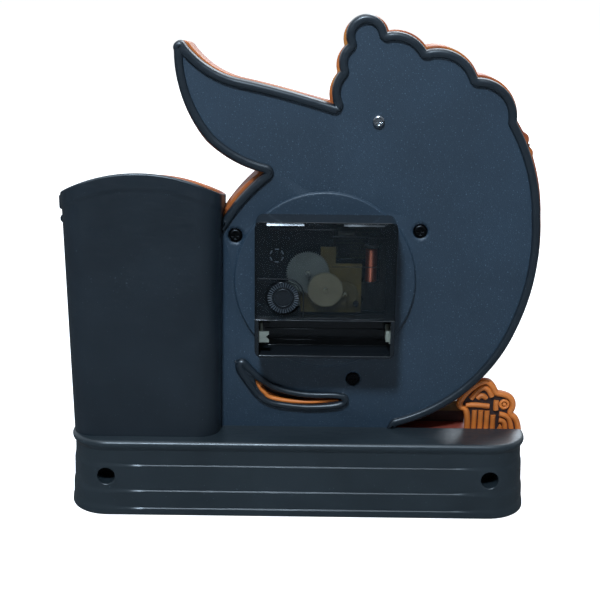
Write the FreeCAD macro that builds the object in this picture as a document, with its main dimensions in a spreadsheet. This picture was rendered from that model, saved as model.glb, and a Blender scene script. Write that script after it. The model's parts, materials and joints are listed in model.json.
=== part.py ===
import FreeCAD, Part
import math
import os
import re

import Sketcher

Vector = FreeCAD.Vector

# A desk clock with a pen cup. All sizes are millimetres. The clock stands on its base: +Z is up,
# the dial faces -Y, the movement faces +Y, and the origin is the middle of the base's underside.

SIZES = [
    # base, in two halves that meet at a seam
    ("base_length", 192.0), ("base_depth", 60.0), ("front_top_height", 30.0), ("ledge_rise", 2.5),
    ("base_corner_radius", 17.0), ("base_wall", 2.4), ("base_seam", 10.5), ("band_step", 0.6),
    ("foot_band_top", 3.1), ("low_band_top", 10.7), ("middle_band_top", 21.8), ("lip_height", 3.9),
    ("lip_round", 1.4),
    ("base_screw_spacing", 158.7), ("base_screw_height", 17.0), ("base_recess_radius", 3.7),
    ("base_recess_depth", 11.0), ("base_boss_wall", 1.8), ("base_screw_radius", 1.5),
    ("base_screw_length", 16.0), ("base_screw_head_radius", 2.9), ("base_screw_head_height", 2.0),
    # pen cup, drawn in from rim to foot by a small draft
    ("cup_centre", 63.3), ("cup_foot_width", 61.2), ("cup_front", 18.0), ("cup_rear", 23.0),
    ("cup_corner_radius", 9.0), ("cup_draft", 1.3), ("cup_wall", 1.9), ("cup_floor", 2.2),
    ("cup_form_height", 146.0), ("rim_rear_height", 142.8), ("rim_front_height", 134.8),
    ("rim_arch_radius", 65.0), ("rim_tool_height", 40.0),
    ("clip_width", 1.6), ("clip_depth", 4.0), ("clip_height", 6.0), ("clip_drop", 8.0),
    # the two shells that hold the dial and the movement
    ("shell_reach", 96.5), ("shell_top", 202.5), ("lobe_radius", 3.0), ("shell_seam", 6.0),
    ("panel_rear", 10.5), ("panel_wall", 2.5), ("bead_width", 3.4), ("bead_rise", 1.5),
    ("front_overhang", 1.2), ("front_face", 10.0), ("front_wall", 2.2), ("side_wall", 2.4),
    ("front_step_depth", 1.2), ("front_step_width", 3.4),
    ("disc_radius", 37.0), ("disc_rise", 2.0), ("disc_round", 0.9),
    ("dial_offset", 10.0), ("dial_height", 97.0),
    # curved slot low on the rear shell
    ("slot_left", 26.6), ("slot_foot", 40.4), ("slot_length", 47.8), ("slot_rise", 22.2),
    ("slot_lip_rise", 1.8), ("slot_backing", 1.4), ("slot_trim_depth", 2.0),
    # screws in the rear shell
    ("screw_left_out", 36.4), ("screw_left_up", 18.4), ("screw_right_out", 38.1),
    ("screw_right_up", 21.0), ("screw_low_out", 12.5), ("screw_low_down", 42.7),
    ("screw_top_out", 19.9), ("screw_top_up", 65.2),
    ("panel_recess_radius", 3.0), ("panel_recess_depth", 1.5), ("panel_boss_wall", 1.4),
    ("panel_boss_length", 3.0), ("panel_screw_radius", 1.3), ("panel_screw_length", 9.0),
    ("panel_screw_head_radius", 2.6), ("panel_screw_head_height", 1.7), ("drive_cross_width", 0.8),
    ("drive_cross_depth", 0.8), ("steel_screw_head_radius", 2.35),
    # dial, lens and bezel
    ("dial_radius", 33.0), ("dial_thickness", 1.0), ("dial_seat", 1.0), ("seat_wall", 2.0),
    ("bezel_radius", 38.5), ("bezel_depth", 5.0), ("bezel_lip", 1.1), ("bezel_opening", 32.0),
    ("lens_radius", 34.2), ("lens_thickness", 1.8), ("bezel_round", 1.0),
    # hands
    ("hand_thickness", 0.6), ("hand_gap", 0.9), ("hour_hand_length", 18.5),
    ("minute_hand_length", 26.5), ("second_hand_length", 28.0), ("second_hand_tail", 8.0),
    ("hand_hub_wall", 1.6), ("hour_hand_width", 3.2), ("minute_hand_width", 2.6),
    ("second_hand_width", 0.9), ("hour_angle", 304.0), ("minute_angle", 48.0), ("second_angle", 216.0),
    # movement case and cover
    ("case_width", 56.0), ("case_depth", 14.5), ("case_wall", 1.2), ("case_floor", 1.4),
    ("case_corner", 3.0), ("cover_thickness", 1.4), ("cover_rim", 0.8), ("bay_height", 14.6),
    ("bay_wall", 1.7), ("bushing_radius", 4.0), ("bushing_reach", 17.9), ("post_radius", 1.2),
    ("knob_hole_gap", 0.9), ("post_side_out", 13.0), ("post_side_up", 8.2), ("post_low_out", 3.5),
    ("post_low_down", 9.8), ("post_top_out", 1.0), ("post_top_up", 13.6), ("stator_post_down", 0.4),
    ("plate_left", 10.2), ("plate_right", 14.4), ("plate_top", 9.8), ("plate_foot", 10.3),
    ("plate_ear", 1.8),
    ("washer_radius", 7.0), ("washer_thickness", 0.5), ("nut_width", 12.0), ("nut_thickness", 2.2),
    # wheel train: centre distances, directions from the hands' axis, and layers behind the case floor
    ("third_distance", 9.55), ("third_direction", 43.5), ("intermediate_distance", 8.17),
    ("intermediate_direction", 194.2), ("rotor_distance", 6.0), ("rotor_direction", 223.0),
    ("works_distance", 8.6), ("works_direction", -20.7), ("knob_direction", 4.1),
    ("arbor_radius", 0.5), ("works_post_radius", 0.8), ("second_arbor_radius", 0.6),
    ("minute_pipe_radius", 1.7), ("hour_pipe_radius", 2.55), ("wheel_thickness", 0.8),
    ("hour_layer", 1.0), ("works_layer", 2.9), ("minute_layer", 4.5), ("plate_layer", 6.0),
    ("plate_thickness", 0.8), ("third_layer", 8.1), ("second_layer", 9.5), ("pivot_depth", 0.8),
    ("magnet_radius", 2.6), ("magnet_height", 2.8), ("stator_layer", 3.5), ("stator_thickness", 0.8),
    ("stator_air_gap", 0.5),
    ("knob_radius", 6.3), ("knob_height", 3.0), ("knob_rise", 0.6), ("knob_rib_height", 0.5),
    ("knob_rib_width", 0.5), ("knob_rib_spacing", 1.1), ("knob_face_radius", 3.9), ("knob_stem_radius", 0.9),
    # coil, circuit and battery contacts
    ("coil_offset", 18.2), ("coil_foot", 1.8), ("coil_length", 15.4), ("coil_radius", 2.4),
    ("flange_radius", 3.0), ("flange_thickness", 0.8), ("core_width", 2.4), ("core_thickness", 1.0),
    ("core_overlap", 2.4), ("arm_width", 2.2), ("arm_gap", 0.7), ("stator_left", 8.0),
    ("stator_foot", 10.2),
    ("board_left", 2.6), ("board_right", 21.4), ("board_foot", 10.7), ("board_top", 23.5),
    ("board_thickness", 1.0), ("board_standoff", 0.3), ("crystal_radius", 1.0), ("crystal_length", 6.2),
    ("chip_width", 4.6), ("chip_height", 0.9), ("part_margin", 1.2),
    ("contact_thickness", 0.4), ("contact_width", 4.6), ("contact_height", 10.5), ("tab_reach", 4.0),
    ("tongue_reach", 1.6), ("notch_depth", 1.2), ("contact_margin", 1.2),
    # scroll ornament and the steps beside the round shell
    ("ornament_left", 65.2), ("ornament_width", 29.6), ("ornament_height", 22.9),
    ("ornament_rear", 4.8), ("ornament_thickness", 1.8), ("scroll_rise", 0.8), ("scroll_width", 1.7),
    ("step_left", 30.0), ("step_right", 72.0), ("step_rear", 3.0), ("step_front", 14.0),
    ("step_height", 5.2), ("moulding_height", 4.4), ("moulding_overhang", 0.8), ("moulding_round", 1.2),
    # clearances and the overrun that every cut shares
    ("running_gap", 0.06), ("fit_gap", 0.05), ("free_gap", 0.3), ("cut_overrun", 1.0),
]

TOOTH_COUNTS = {
    "rotor_pinion": 8, "intermediate_wheel": 40, "intermediate_pinion": 10, "second_wheel": 60,
    "second_pinion": 8, "third_wheel": 60, "third_pinion": 8, "minute_wheel": 64,
    "minute_pinion": 12, "works_wheel": 36, "works_pinion": 10, "hour_wheel": 40, "knob_pinion": 12,
}

# Half widths of a tooth at its root and its tip, as shares of one tooth's pitch, and how far the tip
# and the root lie from the pitch circle, as shares of the module.
TOOTH_ROOT_SHARE = 0.25
TOOTH_TIP_SHARE = 0.10
ADDENDUM_SHARE = 0.80
DEDENDUM_SHARE = 1.15

# The rear shell's outline, seen from behind: shares of shell_reach across and of shell_top up.
# Two small lobes of the front shell stand out past it on one side.
# Each row is a middle point and an end point of one arc. The last arcs run behind the cup and
# below the ledge, where the shell is cut off.
LOBE_SHARES = [(0.905, 0.765), (0.925, 0.737)]
OUTLINE_START_SHARES = (0.431, 0.165)
OUTLINE_ARC_SHARES = [
    ((0.732, 0.244), (0.927, 0.381)),
    ((0.994, 0.508), (0.994, 0.611)),
    ((0.968, 0.694), (0.871, 0.802)),
    ((0.836, 0.856), (0.703, 0.885)),
    ((0.632, 0.927), (0.493, 0.936)),
    ((0.420, 0.965), (0.334, 0.968)),
    ((0.233, 1.000), (0.179, 0.946)),
    ((0.147, 0.921), (0.151, 0.895)),
    ((0.120, 0.862), (0.131, 0.830)),
    ((-0.083, 0.859), (-0.269, 0.879)),
    ((-0.389, 0.905), (-0.477, 0.946)),
    ((-0.501, 0.948), (-0.516, 0.931)),
    ((-0.486, 0.842), (-0.389, 0.760)),
    ((-0.285, 0.722), (-0.149, 0.697)),
    ((-0.249, 0.652), (-0.323, 0.605)),
    ((-0.477, 0.435), (-0.415, 0.198)),
    ((0.000, 0.040), (0.431, 0.165)),
]

# The slot's lip and its opening, as shares of slot_length across and of slot_rise up.
LIP_START_SHARES = (0.010, 0.975)
LIP_ARC_SHARES = [
    ((0.370, 0.440), (0.925, 0.325)),
    ((0.995, 0.220), (0.925, 0.110)),
    ((0.555, 0.025), (0.260, 0.240)),
    ((0.125, 0.600), (0.000, 0.930)),
    ((-0.005, 0.965), (0.010, 0.975)),
]
OPENING_START_SHARES = (0.165, 0.640)
OPENING_ARC_SHARES = [
    ((0.440, 0.405), (0.935, 0.280)),
    ((0.950, 0.230), (0.935, 0.180)),
    ((0.560, 0.092), (0.285, 0.215)),
    ((0.205, 0.400), (0.165, 0.640)),
]

# The upper edge of the trim, as shares like the slot's, closed above the opening.
TRIM_START_SHARES = (0.150, 0.700)
TRIM_ARC_SHARES = [
    ((0.215, 0.560), (0.235, 0.400)),
    ((0.262, 0.330), (0.310, 0.270)),
    ((0.520, 0.140), (0.700, 0.170)),
    ((0.800, 0.215), (0.940, 0.245)),
    ((0.990, 0.300), (0.940, 0.420)),
    ((0.500, 0.620), (0.150, 0.700)),
]

# The scroll ornament's outline, as shares of ornament_width and ornament_height.
ORNAMENT_START_SHARES = (0.190, 0.000)
ORNAMENT_ARC_SHARES = [
    ((0.185, 0.250), (0.175, 0.480)),
    ((0.070, 0.420), (0.000, 0.520)),
    ((0.080, 0.760), (0.240, 0.850)),
    ((0.360, 1.020), (0.480, 0.930)),
    ((0.570, 0.820), (0.620, 0.770)),
    ((0.740, 0.860), (0.820, 0.730)),
    ((0.870, 0.610), (0.890, 0.500)),
    ((0.960, 0.330), (1.000, 0.000)),
]
BAR_SHARES = [(0.205, 0.78), (0.290, 0.86), (0.375, 0.80)]
RING_SHARES = [(0.700, 0.560, 0.140), (0.550, 0.780, 0.085), (0.900, 0.200, 0.085), (0.600, 0.200, 0.140)]
RING_HOLE_SHARE = 0.5

# Where a hand starts to taper along its length, how wide a screw's cross is against its head, and
# where the tongues of the ribbed battery contact stand along its height.
HAND_SHOULDER_SHARE = 0.62
DRIVE_CROSS_SHARE = 0.60
TONGUE_SHARES = (0.25, 0.50, 0.75)
NOTCH_SHARE = 0.50

document = FreeCAD.newDocument("desk_clock")
sheet = document.addObject("Spreadsheet::Sheet", "Sizes")
for row, (name, value) in enumerate(SIZES, start=1):
    sheet.set("A%d" % row, name)
    sheet.set("B%d" % row, str(value))
    sheet.setAlias("B%d" % row, name)
document.recompute()

pieces = []


def number(text):
    """The value of an expression in the sheet's names."""
    return float(sheet.evalExpression(text))


def bound(text):
    """The same expression, with each of the sheet's names written as another object reads it."""
    return re.sub(r"[a-z]+(_[a-z]+)+", lambda found: "Sizes." + found.group(0), text)


def bind(thing, name, text):
    thing.setExpression(name, bound(text))


def keep(thing, label):
    """Mark an object as a finished sub-part and name it."""
    thing.Label = label
    pieces.append(thing)
    return thing


def new_body(name):
    return document.addObject("PartDesign::Body", name)


def origin_plane(body, role):
    return [part for part in body.Origin.OriginFeatures if part.Role == role][0]


def new_sketch(body, role, level):
    """A sketch on one of the body's planes, moved along +Y (XZ_Plane) or +Z (XY_Plane) to a level."""
    sketch = body.newObject("Sketcher::SketchObject", body.Name + "_sketch")
    sketch.AttachmentSupport = [(origin_plane(body, role), "")]
    sketch.MapMode = "FlatFace"
    bind(sketch, "AttachmentOffset.Base.z", "-(%s)" % level if role == "XZ_Plane" else level)
    return sketch


def fix_distance(sketch, kind, geometry, point, text):
    """Hold a point of the sketch at a distance from the sketch's origin."""
    index = sketch.addConstraint(Sketcher.Constraint(kind, -1, 1, geometry, point, number(text)))
    bind(sketch, "Constraints[%d]" % index, text)


def arc_between(start, end, radius, leftward):
    """A circle's arc from start to end whose middle bulges to the left or right of the way there."""
    middle = (start + end) * 0.5
    half = (end - start).Length * 0.5
    across = Vector(-(end - start).y, (end - start).x, 0).normalize()
    side = -1.0 if leftward else 1.0
    centre = middle + across * (side * math.sqrt(max(radius * radius - half * half, 0.0)))
    first, last = (end, start) if leftward else (start, end)
    begin = math.atan2(first.y - centre.y, first.x - centre.x)
    finish = math.atan2(last.y - centre.y, last.x - centre.x)
    circle = Part.Circle(centre, Vector(0, 0, 1), radius)
    return Part.ArcOfCircle(circle, begin, finish)


def corner_ends(points, index):
    """The points where a rounded corner of an upright or level outline starts and ends."""
    here = points[index]
    place = Vector(number(here[0]), number(here[1]), 0)
    ends = []
    for other in (points[index - 1], points[(index + 1) % len(points)]):
        way = Vector(number(other[0]), number(other[1]), 0) - place
        if abs(way.x) > abs(way.y):
            sign = "+" if way.x > 0 else "-"
            ends.append(("%s %s (%s)" % (here[0], sign, here[2]), here[1]))
        else:
            sign = "+" if way.y > 0 else "-"
            ends.append((here[0], "%s %s (%s)" % (here[1], sign, here[2])))
    return ends


def outline_sketch(body, role, level, points):
    """A closed outline. A point is (x, y), (x, y, corner radius), or (x, y, radius, "bow" or "dent")
    where an arc that bulges out of the outline or into it leads to the next point."""
    sketch = new_sketch(body, role, level)
    dents = set()
    stops = []
    for index, point in enumerate(points):
        if len(point) == 3:
            first, second = corner_ends(points, index)
            stops.append((first, point[2]))
            stops.append((second, None))
        elif len(point) == 4:
            if point[3] == "dent":
                dents.add(len(stops))
            stops.append((point[:2], point[2]))
        else:
            stops.append((point, None))
    places = [Vector(number(stop[0][0]), number(stop[0][1]), 0) for stop in stops]
    area = sum(a.x * b.y - b.x * a.y for a, b in zip(places, places[1:] + places[:1]))
    ends = []
    for index, (stop, radius) in enumerate(stops):
        start = places[index]
        end = places[(index + 1) % len(places)]
        if radius is None:
            geometry = sketch.addGeometry(Part.LineSegment(start, end), False)
            ends.append((geometry, 1, 2))
        else:
            leftward = (area < 0) != (index in dents)
            geometry = sketch.addGeometry(arc_between(start, end, number(radius), leftward), False)
            ends.append((geometry, 2, 1) if leftward else (geometry, 1, 2))
    for index, (geometry, first, last) in enumerate(ends):
        other = ends[(index + 1) % len(ends)]
        sketch.addConstraint(Sketcher.Constraint("Coincident", geometry, last, other[0], other[1]))
    for (geometry, first, last), (stop, radius) in zip(ends, stops):
        fix_distance(sketch, "DistanceX", geometry, first, stop[0])
        fix_distance(sketch, "DistanceY", geometry, first, stop[1])
        if radius is not None:
            index = sketch.addConstraint(Sketcher.Constraint("Radius", geometry, number(radius)))
            bind(sketch, "Constraints[%d]" % index, radius)
    return sketch


def circle_sketch(body, role, level, circles):
    """Circles, each given as (x, y, radius)."""
    sketch = new_sketch(body, role, level)
    for across, up, radius in circles:
        centre = Vector(number(across), number(up), 0)
        geometry = sketch.addGeometry(Part.Circle(centre, Vector(0, 0, 1), number(radius)), False)
        index = sketch.addConstraint(Sketcher.Constraint("Radius", geometry, number(radius)))
        bind(sketch, "Constraints[%d]" % index, radius)
        fix_distance(sketch, "DistanceX", geometry, 3, across)
        fix_distance(sketch, "DistanceY", geometry, 3, up)
    return sketch


def draw(body, role, level, shape):
    """A sketch of a shape: ("circles", rows of x, y, radius), or a list of outline points."""
    if shape[0] == "circles":
        return circle_sketch(body, role, level, shape[1])
    return outline_sketch(body, role, level, shape)


def slab(body, role, shape, low, high):
    """Add material between two levels of the plane."""
    sketch = draw(body, role, high if role == "XZ_Plane" else low, shape)
    feature = body.newObject("PartDesign::Pad", body.Name + "_pad")
    feature.Profile = (sketch, [""])
    bind(feature, "Length", "(%s) - (%s)" % (high, low))
    return feature


def hollow(body, role, shape, low, high):
    """Remove material between two levels of the plane."""
    sketch = draw(body, role, low if role == "XZ_Plane" else high, shape)
    feature = body.newObject("PartDesign::Pocket", body.Name + "_pocket")
    feature.Profile = (sketch, [""])
    bind(feature, "Length", "(%s) - (%s)" % (high, low))
    return feature


def revolve(body, profile):
    """Turn a profile of (radius, y) points about the body's Y axis."""
    sketch = outline_sketch(body, "XY_Plane", "0", profile)
    feature = body.newObject("PartDesign::Revolution", body.Name + "_turn")
    feature.Profile = (sketch, [""])
    feature.ReferenceAxis = (sketch, ["V_Axis"])
    feature.Angle = 360
    return feature


def round_edges(body, radius, wanted):
    """Round the edges of the body so far that the wanted function picks."""
    document.recompute()
    tip = body.Tip
    names = ["Edge%d" % (index + 1) for index, edge in enumerate(tip.Shape.Edges) if wanted(edge)]
    feature = body.newObject("PartDesign::Fillet", body.Name + "_round")
    feature.Base = (tip, names)
    bind(feature, "Radius", radius)
    return feature


def place(thing, across, along, up, angle=None):
    bind(thing, "Placement.Base.x", across)
    bind(thing, "Placement.Base.y", along)
    bind(thing, "Placement.Base.z", up)
    if angle is not None:
        thing.Placement.Rotation = FreeCAD.Rotation(Vector(0, 1, 0), number(angle))
        bind(thing, "Placement.Rotation.Angle", angle)


def rectangle(left, right, low, high, radius=None):
    """An upright rectangle, with rounded corners where a radius is given."""
    corners = [(left, low), (right, low), (right, high), (left, high)]
    return [corner + (radius,) if radius else corner for corner in corners]


def fixed_shape(label, shape):
    """A sub-part whose shape is worked out here from the sheet's sizes."""
    feature = document.addObject("Part::Feature", label)
    feature.Shape = shape
    return keep(feature, label)


# Levels along Y that several pieces share.
DISC_REAR = "(panel_rear + disc_rise)"
FLOOR_REAR = "(panel_rear + disc_rise + case_floor)"
CASE_REAR = "(panel_rear + disc_rise + case_depth)"
COVER_FRONT = "(panel_rear + disc_rise + case_depth - cover_thickness)"
LEDGE = "(front_top_height + ledge_rise)"
FRONT_FACE = "(-front_face)"
SEAT_FRONT = "(-dial_seat)"
DIAL_FRONT = "(-dial_seat - dial_thickness)"
BUSHING_TIP = "(panel_rear + disc_rise - bushing_reach)"
HOUR_HAND_REAR = "(panel_rear + disc_rise - bushing_reach - hand_gap)"
MINUTE_HAND_REAR = "(panel_rear + disc_rise - bushing_reach - 2 * hand_gap - hand_thickness)"
SECOND_HAND_REAR = "(panel_rear + disc_rise - bushing_reach - 3 * hand_gap - 2 * hand_thickness)"
DIAL_X = "(-dial_offset)"

# Places of the arbors, measured from the hands' axis.
THIRD = ("(third_distance * cos(third_direction))", "(third_distance * sin(third_direction))")
INTERMEDIATE = ("(intermediate_distance * cos(intermediate_direction))",
                "(intermediate_distance * sin(intermediate_direction))")
ROTOR = ("(%s + rotor_distance * cos(rotor_direction))" % INTERMEDIATE[0],
         "(%s + rotor_distance * sin(rotor_direction))" % INTERMEDIATE[1])
WORKS = ("(works_distance * cos(works_direction))", "(works_distance * sin(works_direction))")
KNOB = ("(%s + works_distance * cos(knob_direction))" % WORKS[0],
        "(%s + works_distance * sin(knob_direction))" % WORKS[1])


def base_half(label, rear):
    """One half of the hollow base: stepped bands below a rounded lip."""
    body = new_body(label)
    half = "base_length / 2"
    top = LEDGE if rear else "front_top_height"
    corner = "min(base_corner_radius; base_depth / 2 - base_seam - base_wall)"
    bands = [("0", "foot_band_top", 0), ("foot_band_top", "low_band_top", 1),
             ("low_band_top", "middle_band_top", 2), ("middle_band_top", "%s - lip_height" % top, 3),
             ("%s - lip_height" % top, top, 0)]

    def plan(inset, radius, open_seam):
        reach = "(%s - (%s))" % (half, inset)
        seam = "base_seam"
        if open_seam:
            seam = "base_seam - cut_overrun" if rear else "base_seam + cut_overrun"
        if rear:
            far = "base_depth / 2 - (%s)" % inset
            return [("-" + reach, seam), (reach, seam), (reach, far, radius), ("-" + reach, far, radius)]
        far = "-base_depth / 2 + (%s)" % inset
        return [("-" + reach, far, radius), (reach, far, radius), (reach, seam), ("-" + reach, seam)]

    for low, high, steps in bands:
        inset = "%d * band_step" % steps
        slab(body, "XY_Plane", plan(inset, "%s - %s" % (corner, inset), False), low, high)
    round_edges(body, "lip_round", lambda edge: abs(edge.BoundBox.ZMin - number(top)) < number("fit_gap")
                and abs(edge.CenterOfMass.y - number("base_seam")) > number("cut_overrun"))
    inner = "3 * band_step + base_wall"
    hollow(body, "XY_Plane", plan(inner, "%s - (%s)" % (corner, inner), True),
           "base_wall", "%s - base_wall" % top)
    places = [("base_screw_spacing / 2", "base_screw_height"),
              ("-base_screw_spacing / 2", "base_screw_height")]
    face = "base_depth / 2 - 2 * band_step"
    if rear:
        recess = "base_recess_radius"
        slab(body, "XZ_Plane", ("circles", [(x, z, recess + " + base_boss_wall") for x, z in places]),
             "base_seam", face + " - base_wall")
        hollow(body, "XZ_Plane", ("circles", [(x, z, recess) for x, z in places]),
               face + " - base_recess_depth", "base_depth / 2")
        hollow(body, "XZ_Plane", ("circles", [(x, z, "base_screw_radius + fit_gap") for x, z in places]),
               "base_seam - cut_overrun", face)
    else:
        slab(body, "XZ_Plane", ("circles", [(x, z, "base_screw_radius + base_boss_wall") for x, z in places]),
             "-" + face + " + base_wall", "base_seam")
        hollow(body, "XZ_Plane", ("circles", [(x, z, "base_screw_radius") for x, z in places]),
               face + " - base_recess_depth - base_screw_length - cut_overrun", "base_seam + cut_overrun")
    return keep(body, label)


def screw_form(name, head_radius, head_height, radius, length):
    """A pan head screw along Y, its head's underside at Y = 0 and a cross cut in its head."""
    body = new_body(name)
    revolve(body, [("0", "-(%s)" % length), (radius, "-(%s)" % length), (radius, "0"), (head_radius, "0"),
                   (head_radius, head_height), ("0", head_height)])
    round_edges(body, "%s / 2" % head_height,
                lambda edge: edge.BoundBox.YMin > number(head_height) - number("fit_gap"))
    wide = "(%s) * %s" % (head_radius, DRIVE_CROSS_SHARE)
    for across, up in ((wide, "drive_cross_width / 2"), ("drive_cross_width / 2", wide)):
        hollow(body, "XZ_Plane", rectangle("-" + across, across, "-" + up, up),
               "%s - drive_cross_depth" % head_height, "%s + cut_overrun" % head_height)
    return body


def screw_group(label, places, *sizes):
    """Identical screws, each a solid of its own."""
    screws = []
    for across, along, up in places:
        screw = screw_form(label + "_form", *sizes)
        place(screw, across, along, up)
        screws.append(screw)
    if len(screws) == 1:
        return keep(screws[0], label)
    group = document.addObject("Part::MultiFuse", label)
    group.Shapes = screws
    return keep(group, label)


base_half("base_rear_shell", True)
base_half("base_front_shell", False)
BASE_SEAT = "base_depth / 2 - 2 * band_step - base_recess_depth"
screw_group("base_screws",
            [("base_screw_spacing / 2", BASE_SEAT, "base_screw_height"),
             ("-base_screw_spacing / 2", BASE_SEAT, "base_screw_height")],
            "base_screw_head_radius", "base_screw_head_height", "base_screw_radius", "base_screw_length")


# The pen cup: one tapered form, cut along the seam into two half shells.
def cup_plan(level_draft, wall):
    """The cup's rounded plan at a level, grown by that level's draft and drawn in by a wall."""
    grow = "(%s) - (%s)" % (level_draft, wall)
    half = "(cup_foot_width / 2 + %s)" % grow
    left = "cup_centre - %s" % half
    right = "cup_centre + %s" % half
    front = "-(cup_front + %s)" % grow
    rear = "cup_rear + %s" % grow
    return rectangle(left, right, front, rear, "cup_corner_radius - (%s)" % wall)


def draft_at(level):
    return "cup_draft * ((%s) - front_top_height) / (cup_form_height - front_top_height)" % level


def loft(body, kind, lower, upper):
    feature = body.newObject(kind, body.Name + "_loft")
    feature.Profile = (lower, [""])
    feature.Sections = [upper]
    feature.Ruled = True
    return feature


cup = new_body("cup_form")
cup_outer = loft(cup, "PartDesign::AdditiveLoft",
                 outline_sketch(cup, "XY_Plane", "front_top_height", cup_plan("0", "0")),
                 outline_sketch(cup, "XY_Plane", "cup_form_height", cup_plan("cup_draft", "0")))
CUP_FLOOR = LEDGE + " + cup_floor"
loft(cup, "PartDesign::SubtractiveLoft",
     outline_sketch(cup, "XY_Plane", CUP_FLOOR, cup_plan(draft_at(CUP_FLOOR), "cup_wall")),
     outline_sketch(cup, "XY_Plane", "cup_form_height + cut_overrun",
                    cup_plan(draft_at("cup_form_height + cut_overrun"), "cup_wall")))

RIM_HALF = "(cup_foot_width / 2 + cup_draft + cut_overrun)"
RIM_SAG = "(rim_arch_radius - sqrt(rim_arch_radius ^ 2 - %s ^ 2))" % RIM_HALF
RIM_SLOPE = "((rim_rear_height - rim_front_height) / (cup_rear + cup_front))"


def rim_profile(body, level, height):
    """The space above the arched rim at one level along Y."""
    left = "cup_centre - %s" % RIM_HALF
    right = "cup_centre + %s" % RIM_HALF
    low = "%s - %s" % (height, RIM_SAG)
    high = "%s + rim_tool_height" % height
    return outline_sketch(body, "XZ_Plane", level,
                          [(left, low, "rim_arch_radius", "dent"), (right, low), (right, high),
                           (left, high)])


REACH = "(cup_draft + cut_overrun)"
loft(cup, "PartDesign::SubtractiveLoft",
     rim_profile(cup, "-(cup_front + %s)" % REACH, "(rim_front_height - %s * %s)" % (RIM_SLOPE, REACH)),
     rim_profile(cup, "cup_rear + %s" % REACH, "(rim_rear_height + %s * %s)" % (RIM_SLOPE, REACH)))


def block(name, low_corner, high_corner):
    """A plain box between two corners."""
    box = document.addObject("Part::Box", name)
    for axis, size, low, high in zip("xyz", ("Length", "Width", "Height"), low_corner, high_corner):
        bind(box, "Placement.Base." + axis, low)
        bind(box, size, "(%s) - (%s)" % (high, low))
    return box


def cup_box(name, front, rear, low):
    edge = "(cup_foot_width / 2 + cup_draft + cut_overrun)"
    return block(name, ("cup_centre - " + edge, front, low),
                 ("cup_centre + " + edge, rear, "rim_rear_height"))


def cup_half(label, front, rear, low):
    """The part of the cup in front of the seam or behind it."""
    half = document.addObject("Part::Common", label)
    half.Base = cup
    half.Tool = cup_box(label + "_box", front, rear, low)
    return keep(half, label)


cup_half("cup_rear_shell", "base_seam", "cup_rear + cup_draft + cut_overrun", LEDGE)
cup_half("cup_front_shell", "-cup_front - cup_draft - cut_overrun", "base_seam", "front_top_height")
document.recompute()


# The rear and front shells follow one outline made of arcs.
def arc_wire(start, rows, left, low, wide, tall, level, mirror=-1.0):
    """A closed wire of arcs on a plane at a level along Y. Shares run across, away from +X, and up."""
    def spot(pair):
        return Vector(mirror * (left + pair[0] * wide), level, low + pair[1] * tall)

    here = spot(start)
    edges = []
    for middle, end in rows:
        edges.append(Part.Arc(here, spot(middle), spot(end)).toShape())
        here = spot(end)
    return Part.Wire(edges)


def outline_face(grow, level):
    """The shells' outline as a face, grown or drawn in."""
    wire = arc_wire(OUTLINE_START_SHARES, OUTLINE_ARC_SHARES, 0.0, 0.0, number("shell_reach"),
                    number("shell_top"), number(level))
    face = Part.Face(wire)
    return face.makeOffset2D(grow) if grow else face


def between(face, front, rear):
    """The face, at its own level on the front side, made solid up to a rear level."""
    return face.extrude(Vector(0, number(rear) - number(front), 0))


def rod(across, up, radius, front, rear):
    """A round bar along Y."""
    start = Vector(number(across), number(front), number(up))
    return Part.makeCylinder(number(radius), number(rear) - number(front), start, Vector(0, 1, 0))


def slab_box(front, rear, low, high):
    """A box across the whole clock between levels along Y and Z."""
    length = number("base_length")
    corner = Vector(-length, number(front), number(low))
    return Part.makeBox(2 * length, number(rear) - number(front), number(high) - number(low), corner)


def all_of(shapes):
    return shapes[0].multiFuse(shapes[1:])


DIAL_Z = "dial_height"
BLACK_SCREWS = [("%s + screw_left_out" % DIAL_X, "dial_height + screw_left_up"),
                ("%s - screw_right_out" % DIAL_X, "dial_height + screw_right_up"),
                ("%s - screw_low_out" % DIAL_X, "dial_height - screw_low_down")]
STEEL_SCREW = ("%s - screw_top_out" % DIAL_X, "dial_height + screw_top_up")
PANEL_FRONT = "(panel_rear - panel_wall)"
BEAD_REAR = "(panel_rear + bead_rise)"
RECESS_FLOOR = "(panel_rear - panel_recess_depth)"
BOSS_FRONT = "(panel_rear - panel_recess_depth - panel_boss_length)"


def slot_wire(start, rows, level):
    return arc_wire(start, rows, -number("slot_left"), number("slot_foot"), number("slot_length"),
                    number("slot_rise"), number(level))


def below_ledge():
    """The space under the shells: the front base top, and the higher ledge behind the panel."""
    depth = "base_depth"
    return [slab_box("-%s" % depth, "panel_rear", "-%s" % depth, "front_top_height"),
            slab_box("panel_rear", depth, "-%s" % depth, LEDGE)]


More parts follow.
